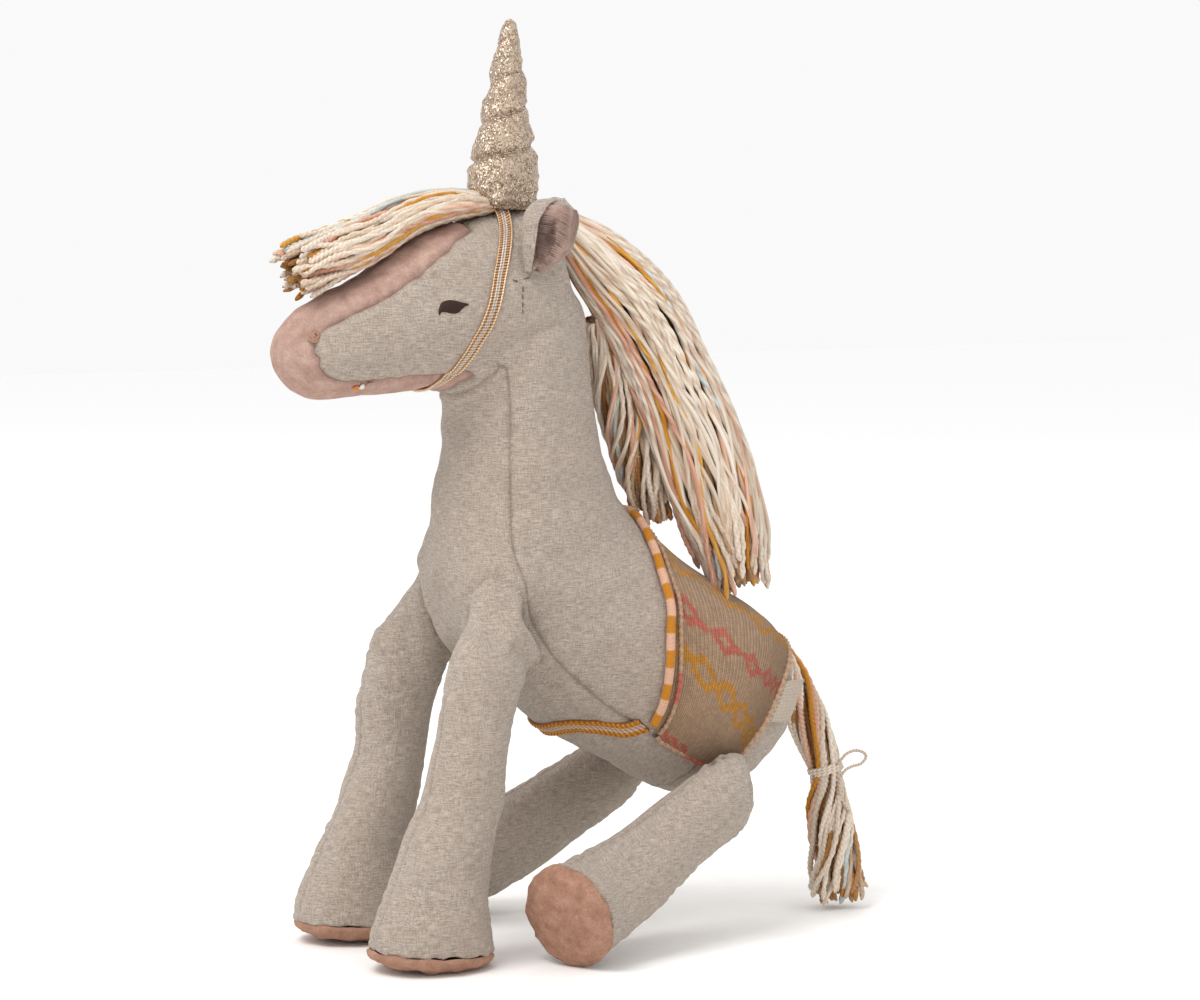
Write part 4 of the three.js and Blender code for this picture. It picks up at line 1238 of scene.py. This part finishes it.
# Painted shade in the spiral groove.
groove_shade = (np.exp(-((gap / 0.03) ** 2)) * fade).ravel() * 0.7
faces = grid_faces(len(outline), len(a), True)
horn_skin = piece("horn_foil", flat, faces, GLITTER, "horn", "glitter", ["horn_cover", "horn_stuffing"],
                  seam=groove_shade)
t = np.linspace(0, 1, 420)
z = 4 + t * (HORN_HEIGHT - 12)
a = 2 * math.pi * HORN_TURNS * z / HORN_HEIGHT - 1.2
r = np.interp(z, outline[60:, 1], outline[60:, 0]) * (1 - 0.15 * ease((z - 3) / 6)) - 0.1
points, faces, _ = tube(horn_place(r * np.cos(a), r * np.sin(a), z), 0.3, 6)
piece("horn_thread", points, faces, GLITTER, "horn", "thread", ["horn_winding"])
s = np.linspace(0, 2 * math.pi, 160)
ring = horn_place(8.6 * np.cos(s), 8.6 * np.sin(s), -3.0 + 0 * s)
points, faces, _ = tube(ring, 0.85, 10, pitch=4.0, reference=(0.02, 0.01, 1))
piece("horn_base_roll", points, faces, GLITTER, "horn", "glitter", ["horn_base"])


# ---------------------------------------------------------------- elastics
def ribbed_band(name, loft, degrees, place, width, ribs, material, slot, body, nodes, lift, holes=1.05):
    """A woven elastic round a loft. ribs are (share of the width, height, colour, second colour) across it."""
    degrees = np.asarray(degrees, float)
    t = place(degrees)
    base, out = loft.place(t, degrees), loft.out(t, degrees)
    centres = smooth_rows(on_skin(base, out, lift), 6)
    across, out = lying_frames(centres, out)
    s = lengths(centres)
    per = 5
    offsets, heights, tones = [], [], []
    edge = -width / 2
    for k, (share, height, first, second) in enumerate(ribs):
        for j in range(per):
            w = (j + 0.5) / per
            offsets.append(edge + share * width * w)
            beat = 0.5 + 0.5 * np.sin(2 * math.pi * s / holes + k * 2.1 + (w - 0.5) * 2.4)
            heights.append(height * math.sin(math.pi * w) ** 0.6 * (0.72 + 0.4 * beat))
            # The darker second colour where the weave dips: painted shade.
            mixed = ease((beat - 0.35) / 0.3)[:, None]
            tones.append(np.array(colour(first)) * mixed + np.array(colour(second)) * (1 - mixed))
        edge += share * width
    # The sunken edges in the darker colour: painted shade under the band's edges.
    for x in (width / 2 - 0.1, -width / 2 + 0.1):
        offsets.append(x)
        heights.append(np.full(len(s), -0.45))
        tones.append(tone_of(ribs[0][3], len(s)))
    section = np.stack([np.broadcast_to(offsets, (len(s), len(offsets))), np.stack(heights, 1)], -1)
    points, faces = sweep(centres, across, out, section)
    return piece(name, points, faces, material, body, slot, nodes, tone=np.stack(tones, 1).reshape(-1, 4))


HORN_BAND_ANGLES = np.linspace(79, -259, 700)
HORN_BAND_BODIES = ("torso", "horn", metres([0, -40, 192]).tolist(), metres([0, -14.6, 246]).tolist())
ribbed_band(
    "horn_elastic_band", HEAD, HORN_BAND_ANGLES,
    lambda d: 0.26 - 0.25 * np.sin(np.radians(d)), 4.5,
    [(0.12, 0.55, "fae3c4", "c99a68"), (0.2, 0.3, "dba877", "4a2c1d"), (0.18, 0.5, "d6cabd", "a39280"),
     (0.18, 0.5, "d6cabd", "a39280"), (0.2, 0.3, "dba877", "4a2c1d"), (0.12, 0.55, "fae3c4", "c99a68")],
    LUREX, "lurex", HORN_BAND_BODIES, ["horn_elastic"],
    0.55 + 2.2 * ease((np.abs(HORN_BAND_ANGLES + 90) - 148) / 20))


def girth_place(degrees):
    low = np.maximum(0, np.abs(np.sin(np.radians(degrees))) - 0.6) / 0.4
    return 0.215 + 0.06 * ease(low)


ribbed_band(
    "girth_band", TORSO, np.linspace(-38, -142, 330), girth_place, 6.6,
    [(0.19, 0.8, "d08a22", "9a5a12"), (0.13, 0.75, "d9952c", "a5641a"), (0.11, 0.35, "d9c6b2", "a8917c"),
     (0.11, 0.35, "cbb8a6", "95806d"), (0.12, 0.35, "d9c6b2", "a8917c"), (0.14, 0.75, "d9952c", "a5641a"),
     (0.2, 0.8, "d08a22", "9a5a12")],
    GIRTH_CLOTH, "girth", "blanket", ["girth_elastic"], 0.5, holes=1.7)

# ---------------------------------------------------------------- saddle blanket
LOW_ANGLE, TOP_ANGLE = -42.0, 90.0
FRONT_T, REAR_T = (0.39, 0.20), (-0.34, -0.18)
STITCH_WIDE, STITCH_TALL = 1.1, 1.0


def edge_mix(degrees):
    return ease(np.abs(degrees - TOP_ANGLE) / (TOP_ANGLE - LOW_ANGLE))


def front_edge(degrees):
    return FRONT_T[0] + (FRONT_T[1] - FRONT_T[0]) * edge_mix(degrees)


def rear_edge(degrees):
    return REAR_T[0] + (REAR_T[1] - REAR_T[0]) * edge_mix(degrees)


def blanket_place(u, v):
    """t and degrees on the blanket: u from the front edge to the rear, v from the right side over to the left."""
    low = LOW_ANGLE + 40.5 * np.maximum(0, u - 0.62) ** 2 + 60 * np.maximum(0, 0.1 - u) ** 2 / 0.1
    degrees = TOP_ANGLE + (2 * v - 1) * (TOP_ANGLE - low)
    return front_edge(degrees) * (1 - u) + rear_edge(degrees) * u, degrees


def blanket_points(u, v, lift):
    t, degrees = blanket_place(u, v)
    return on_skin(TORSO.place(t, degrees), TORSO.out(t, degrees), lift), TORSO.out(t, degrees)


coarse, coarse_out = (grid.reshape(15, 35, 3) for grid in blanket_points(
    *grid_of(np.linspace(0, 1, 15), np.linspace(0, 1, 35)), 1.1))
for _ in range(2):
    coarse[1:-1] = (coarse[:-2] + 2 * coarse[1:-1] + coarse[2:]) / 4
    coarse[:, 1:-1] = (coarse[:, :-2] + 2 * coarse[:, 1:-1] + coarse[:, 2:]) / 4
LONG = np.linalg.norm(np.diff(coarse[:, 26], axis=0), axis=1).sum()
AROUND = np.linalg.norm(np.diff(coarse[6], axis=0), axis=1).sum()
across_count, down_count = round(LONG / STITCH_WIDE), round(AROUND / STITCH_TALL)
nu, nv = across_count * 3 + 1, down_count * 2 + 1


def refine(grid):
    return spline(spline(grid, nu).transpose(1, 0, 2), nv).transpose(1, 0, 2)


fine, fine_out = refine(coarse), unit(refine(coarse_out))
cell_u, part_u = np.divmod(np.arange(nu), 3)
cell_v, part_v = np.divmod(np.arange(nv), 2)
part_u, part_v = np.meshgrid(part_u / 3, part_v / 2, indexing="ij")
col, row = np.meshgrid(cell_u, cell_v, indexing="ij")
lean = 0.5 - np.abs(part_u - 0.5)
slope = (lean * 1.2 + part_v) % 1.0
leg = np.sin(math.pi * np.clip(np.abs(part_u - 0.5) * 2, 0, 1)) ** 0.8
height = 0.34 * leg * (0.55 + 0.45 * np.sin(math.pi * slope)) + 0.05
side_row = np.minimum(row, down_count - 1 - row)          # rows counted up from each lower edge
BASE, MUSTARD, CORAL = np.array(colour("a88a6e")), np.array(colour("bd832f")), np.array(colour("b86350"))
rng = np.random.default_rng(5)
speckle = rng.uniform(0.86, 1.12, (across_count + 1, down_count + 1))[col, row][..., None]
tone = np.broadcast_to(BASE, (nu, nv, 4)) * speckle


def motif(first_row, tall, rise, shape, code):
    """Colours a band of the pattern, which rises by some rows towards the front: shape picks (column, row)."""
    rows = side_row - first_row - np.round(rise * (1 - col / across_count)).astype(int)
    hit = (rows >= 0) & (rows < tall) & shape(col, rows)
    tone[hit] = (code * speckle)[hit]


motif(9, 9, 16, lambda c, r: np.abs(np.abs(c % 8 - 4) - np.abs(r - 4)) < 2, MUSTARD)
motif(33, 9, 4, lambda c, r: np.abs(np.abs(c % 9 - 4) + np.abs(r - 4) - 3) < 1.5, CORAL)
motif(33, 9, 4, lambda c, r: (c % 9 > 6) & (np.abs(r - 4) < 2), CORAL)
motif(54, 9, 0, lambda c, r: np.abs(np.abs(c % 10 - 5) - r + 1) < 2, MUSTARD)
motif(54, 9, 0, lambda c, r: (np.abs(c % 10 - 5) < 2) & (r > 5), MUSTARD)
motif(72, 8, -4, lambda c, r: np.abs(np.abs(c % 9 - 4) + np.abs(r - 4) - 3) < 1.5, CORAL)
motif(0, 4, 0, lambda c, r: (c < 14) & (c > 2) & ((c + r) % 4 > 0), CORAL)
tone[..., 3] = 1
points = (fine + fine_out * height[..., None]).reshape(-1, 3)
sag = 0.25 * waves(points, 24, 51)
points = points + fine_out.reshape(-1, 3) * np.abs(sag)[:, None]
knit = piece("blanket_knitted", points, grid_faces(nu, nv), KNIT, "blanket", "knit", ["blanket_knit"],
             tone=tone.reshape(-1, 4), loop=np.stack([col + part_u, row + part_v, 0 * col], -1).reshape(-1, 3))


def cord_on(name, centres, out, radius, tones, material, slot, nodes, ply=0.2, pitch=3.0, sides=10):
    """A cord that lies on the blanket; tones gives its colours from the distance along it."""
    s = lengths(centres)
    points, faces = sweep(centres, *lying_frames(centres, out), twisted(s, sides, radius, ply, pitch)[0])
    return piece(name, points, faces, material, "blanket", slot, nodes, tone=np.repeat(tones(s), sides, 0))


# Striped piping along the front edge, with fine ribs where its stripes are knitted.
v = np.linspace(0.002, 0.998, 700)
t, degrees = blanket_place(np.zeros(700), v)
along = TORSO.frames(t)[1]
base = smooth_rows(on_skin(TORSO.place(t, degrees), TORSO.out(t, degrees), 1.7), 20) + along * 1.1
s = lengths(base)
ribs = 1.5 * (1 + 0.045 * np.cos(2 * math.pi * s / 0.8)) * np.clip(np.minimum(s, s[-1] - s) / 1.5 + 0.3, 0, 1)


def stripes(s):
    mustard, peach = np.array(colour("c4801c")), np.array(colour("dcae92"))
    share = ease((np.sin(2 * math.pi * s / 11.4) + 0.12) / 0.24)[:, None]
    return mustard * share + peach * (1 - share)


cord_on("blanket_striped_piping", base, TORSO.out(t, degrees), ribs, stripes, PIPING_CLOTH, "piping",
        ["blanket_piping"], ply=0.0, sides=14)


# The chain-stitched edge round the other sides and along the piping.
def edge_tones(s):
    share = s / s[-1]
    # Painted shade: darker between the chain's links.
    wave = 0.9 + 0.12 * np.sin(2 * math.pi * s / 3.1)
    made = np.repeat(np.array([colour("bd9c80")]), len(s), 0) * wave[:, None]
    gold = (share > 0.44) & (share < 0.56)
    made[gold] = np.array(colour("bf8a2c")) * wave[gold][:, None]
    red = ((share > 0.07) & (share < 0.13)) | ((share > 0.88) & (share < 0.93))
    made[red] = np.array(colour("c06a5a")) * wave[red][:, None]
    made[:, 3] = 1
    return made


n = 260
right_low = np.stack([np.linspace(0.03, 1, n), np.zeros(n)], 1)
over = np.stack([np.ones(2 * n), np.linspace(0, 1, 2 * n)], 1)
left_low = np.stack([np.linspace(1, 0.03, n), np.ones(n)], 1)
route = smooth_rows(np.vstack([right_low, over[1:], left_low[1:]]), 60)
centres, out = blanket_points(route[:, 0], route[:, 1], 1.5)
cord_on("blanket_edge", smooth_rows(centres, 14), out, 0.85, edge_tones, HEM_CLOTH, "knit", [], ply=0.24, pitch=4.4)
inner, out = blanket_points(np.full(500, 0.035), np.linspace(0.01, 0.99, 500), 2.1)
cord_on("blanket_front_edge", smooth_rows(inner, 14), out, 0.7, edge_tones, HEM_CLOTH, "knit", [], ply=0.24,
        pitch=4.0)

# A blank woven label sewn to the rear edge, folded over at its outer end.
w, h = grid_of(np.linspace(0, 1, 30), np.linspace(0, 1, 40))
base, out = blanket_points(np.full(len(h), 0.985), 0.14 + 0.11 * h, 2.0)
ripple = 1.8 * w + 0.9 * np.sin(math.pi * w) + 0.5 * np.sin(4 * h + 1) * w
upper = base + np.array([-0.42, 0.9, -0.06]) * (12 * w)[:, None] + out * ripple[:, None]
under = upper - out * 0.7
quads = grid_faces(30, 40)
points, faces = joined([(upper, quads), (under, quads[:, ::-1])])
# Painted shade: light and dark stripes for the tape's ribs.
ribbing = 0.93 + 0.07 * np.sin(2 * math.pi * np.tile(h, 2) * 26)
tone = tone_of("bdb0a0", len(points)) * ribbing[:, None]
stitched = np.tile((np.abs(w - 0.12) < 0.03) & (np.sin(h * 60) > 0), 2)
tone[stitched] = colour("93846f")
tone[:, 3] = 1
piece("blanket_blank_label", points, faces, LABEL_CLOTH, "blanket", "label", ["blanket_label"], tone=tone)

# ---------------------------------------------------------------- yarn
# The strands' colours. The core codes, browner and darker, and the last brown code paint the shade inside and among
# the strands.
YARN_CODES = ["eadfcf", "e2d4c2", "eee4d6", "dccab4", "d6a04a", "cf8f2c", "dfae97", "e3bca6", "cbd8d8", "b98b5c"]
CORE_SHADE_CODES = ["c98f45", "b9824a", "d9b78f", "c9a27c", "e0c8ae", "a8733a"]
YARN_SHARES = [0.24, 0.2, 0.15, 0.1, 0.07, 0.04, 0.07, 0.05, 0.05, 0.03]
MANE_UPPER = Loft([
    [1, 5.5, 243, 8, 6.5], [4, 19.5, 230, 11, 12.5], [8, 33.5, 212.5, 12.5, 16.5], [9.5, 44.5, 192, 13, 17.5],
    [10, 54, 172, 13.5, 18.5], [11, 61, 154, 13, 18.5], [12, 66, 138, 12.5, 15.5], [12.5, 69, 124, 11, 11.5],
])
MANE_LOWER = Loft([[0, 18, 210, 7, 4.5], [0, 25.5, 191, 8.5, 6.5], [0, 32, 172, 9.5, 8], [0, 39, 155, 9, 8],
                   [0, 45.5, 141, 6.5, 5.5]])
FORELOCK = Loft([
    [-1, -21, 249, 9, 4.5], [-1, -36, 248.4, 11, 6.0], [-1, -51, 244.8, 12.5, 7.6], [-1, -64, 238.6, 13, 8.8],
    [-1, -77.5, 232.8, 13.5, 9.6], [-1, -88, 229, 12.5, 9.4],
])
TAIL = Loft([
    [0, 95.5, 94, 5, 4.8], [2, 101.4, 78, 7.6, 7.0], [4, 106.5, 64.5, 8.5, 8.0], [7, 111.2, 48, 6.4, 6.4],
    [9, 111.3, 34, 8.4, 9.0], [11, 112.6, 18, 9, 9.8], [11.5, 114.2, 2, 9.5, 11.5],
])


def beyond_end(loft, t):
    """The loft's middle line and section, also straight on past its ends."""
    centre, along, side, up, wide, deep = loft.frames(t)
    speed = np.linalg.norm(loft.sample(np.array([1.0]))[0, :3] - loft.sample(np.array([0.97]))[0, :3]) / 0.03
    past = np.maximum(t - 1, 0) + np.minimum(t, 0)
    return centre + along * (past * speed)[:, None], side, up, loft.sample(np.clip(t, 0, 1))[:, 3:]


def hank(name, loft, count, body, node, seed, ends, begin=(0.0, 0.02), twist=0.0, radius=0.95, curl=0.0,
         steps=80, gather=0.0, sway=1.0, lowest=0.6, core=0.35):
    """A bundle of yarn strands that fills a loft, each with its own length and colour."""
    rng = np.random.default_rng(seed)
    parts = []
    for k in range(count):
        outer = k >= count * core
        rho = 0.93 * (rng.uniform(0.84, 1.0) if outer else math.sqrt(rng.uniform(0.02, 0.62)))
        phi = k * 2.39996 + rng.uniform(-0.2, 0.2)
        t = np.linspace(rng.uniform(*begin), rng.uniform(*ends), steps)
        centre, side, up, size = beyond_end(loft, t)
        along = (t - t[0]) / (t[-1] - t[0])
        free = ease((along - 0.72) / 0.28)
        r = rho * (1 - gather * (1 - ease(along / 0.12))) * (1 + free * rng.uniform(-0.35, 0.22))
        a = phi + twist * 2 * math.pi * along + rng.uniform(-0.3, 0.3) * np.sin(math.pi * along)
        a = a + sway * 0.16 * np.sin(2 * math.pi * along * rng.uniform(1.0, 2.4) + rng.uniform(0, 6.3))
        hold = size - radius * 0.8
        path = centre + side * (hold[:, 0] * r * np.cos(a))[:, None] + up * (hold[:, 1] * r * np.sin(a))[:, None]
        drift = np.stack([np.sin(along * rng.uniform(4, 9) + rng.uniform(0, 6.3)) for _ in range(3)], 1)
        path = path + drift * ((0.35 * sway + 1.6 * free * (0.4 + curl)) * ease(along / 0.2))[:, None]
        path[:, 2] = np.maximum(path[:, 2], lowest + radius)
        path = smooth_rows(path, 2)
        thick = radius * rng.uniform(0.86, 1.12) * np.clip((1.0 - along) * steps / 1.2 + 0.35, 0, 1)
        points, faces, ply = tube(path, thick, 6, start=rng.uniform(0, 6.3), ply=0.2, reference=(1, 0.2, 0.15))
        code = rng.choice(YARN_CODES if outer else CORE_SHADE_CODES, p=YARN_SHARES if outer else None)
        # Painted shade: the core strands darker.
        shade = rng.uniform(0.9, 1.06) * (1.0 if outer else 0.8)
        tone = tone_of(str(code), len(points)) * shade
        tone[:, 3] = 1
        parts.append((points, faces, tone, ply))
    points, faces, tone, ply = joined(parts)
    return piece(name, points, faces, YARN, body, "yarn", [node], tone=tone, ply=ply)


hank("mane_upper_strands", MANE_UPPER, 200, "mane_upper", "mane_upper", 7, (0.92, 1.1), begin=(-0.03, 0.03),
     gather=0.1, twist=0.05)
hank("mane_lower_strands", MANE_LOWER, 64, "mane_lower", "mane_lower", 8, (0.9, 1.04), twist=0.85, steps=60,
     radius=0.9, sway=1.4, core=0.7)
hank("forelock_strands", FORELOCK, 105, "forelock", "forelock", 9, (0.95, 1.12), begin=(-0.04, 0.02), gather=0.1,
     steps=60)
hank("tail_strands", TAIL, 64, "tail", "tail", 10, (0.93, 1.0), twist=0.8, curl=1.2, steps=90, begin=(-0.01, 0.03),
     gather=0.35, core=0.55)

# The tie round the tail: a little over two turns of yarn, and its loose end with a loop.
waist, along, side, up, wide = (v[0] for v in TAIL.frames([0.49])[:5])
TIE_TURNS = 2.2
s = np.linspace(0, 1, 150)
a = s * TIE_TURNS * 2 * math.pi
ring = side * np.cos(a)[:, None] + up * np.sin(a)[:, None]
path = waist + along * ((s - 0.5) * 2.2)[:, None] + ring * (wide - 0.5)
points, faces, ply = tube(path, 0.6, 8, reference=along + 0.01)
piece("tail_tie_wraps", points, faces, YARN, "tail", "yarn", ["tail_tie_band"], tone=tone_of("e9ded0", len(points)),
      ply=ply)
TIE_END = [[12, 112.1, 49.6], [12.3, 114.0, 52.6], [12.6, 116.3, 54.8], [12.8, 119.6, 55.6], [13, 122.8, 54.8],
           [13.2, 124.0, 53.0], [13.6, 121.6, 50.9], [14.2, 117.4, 50.3], [14.8, 114.0, 49.2], [15, 112.0, 46.5],
           [15.2, 111.6, 43.0], [15.4, 112.2, 40.0], [15.6, 113.6, 37.1], [15.8, 115.6, 34.5]]
route = spline(TIE_END, 240)
points, faces, ply = tube(route, 0.56, 8, ply=0.06, pitch=2.6, reference=(1, 0.02, 0.03))
tie = piece("tail_tie_loose_end", points, faces, YARN, "tail", "yarn", ["tail_tie_end"],
            tone=tone_of("cfc2b2", len(points)), ply=ply)
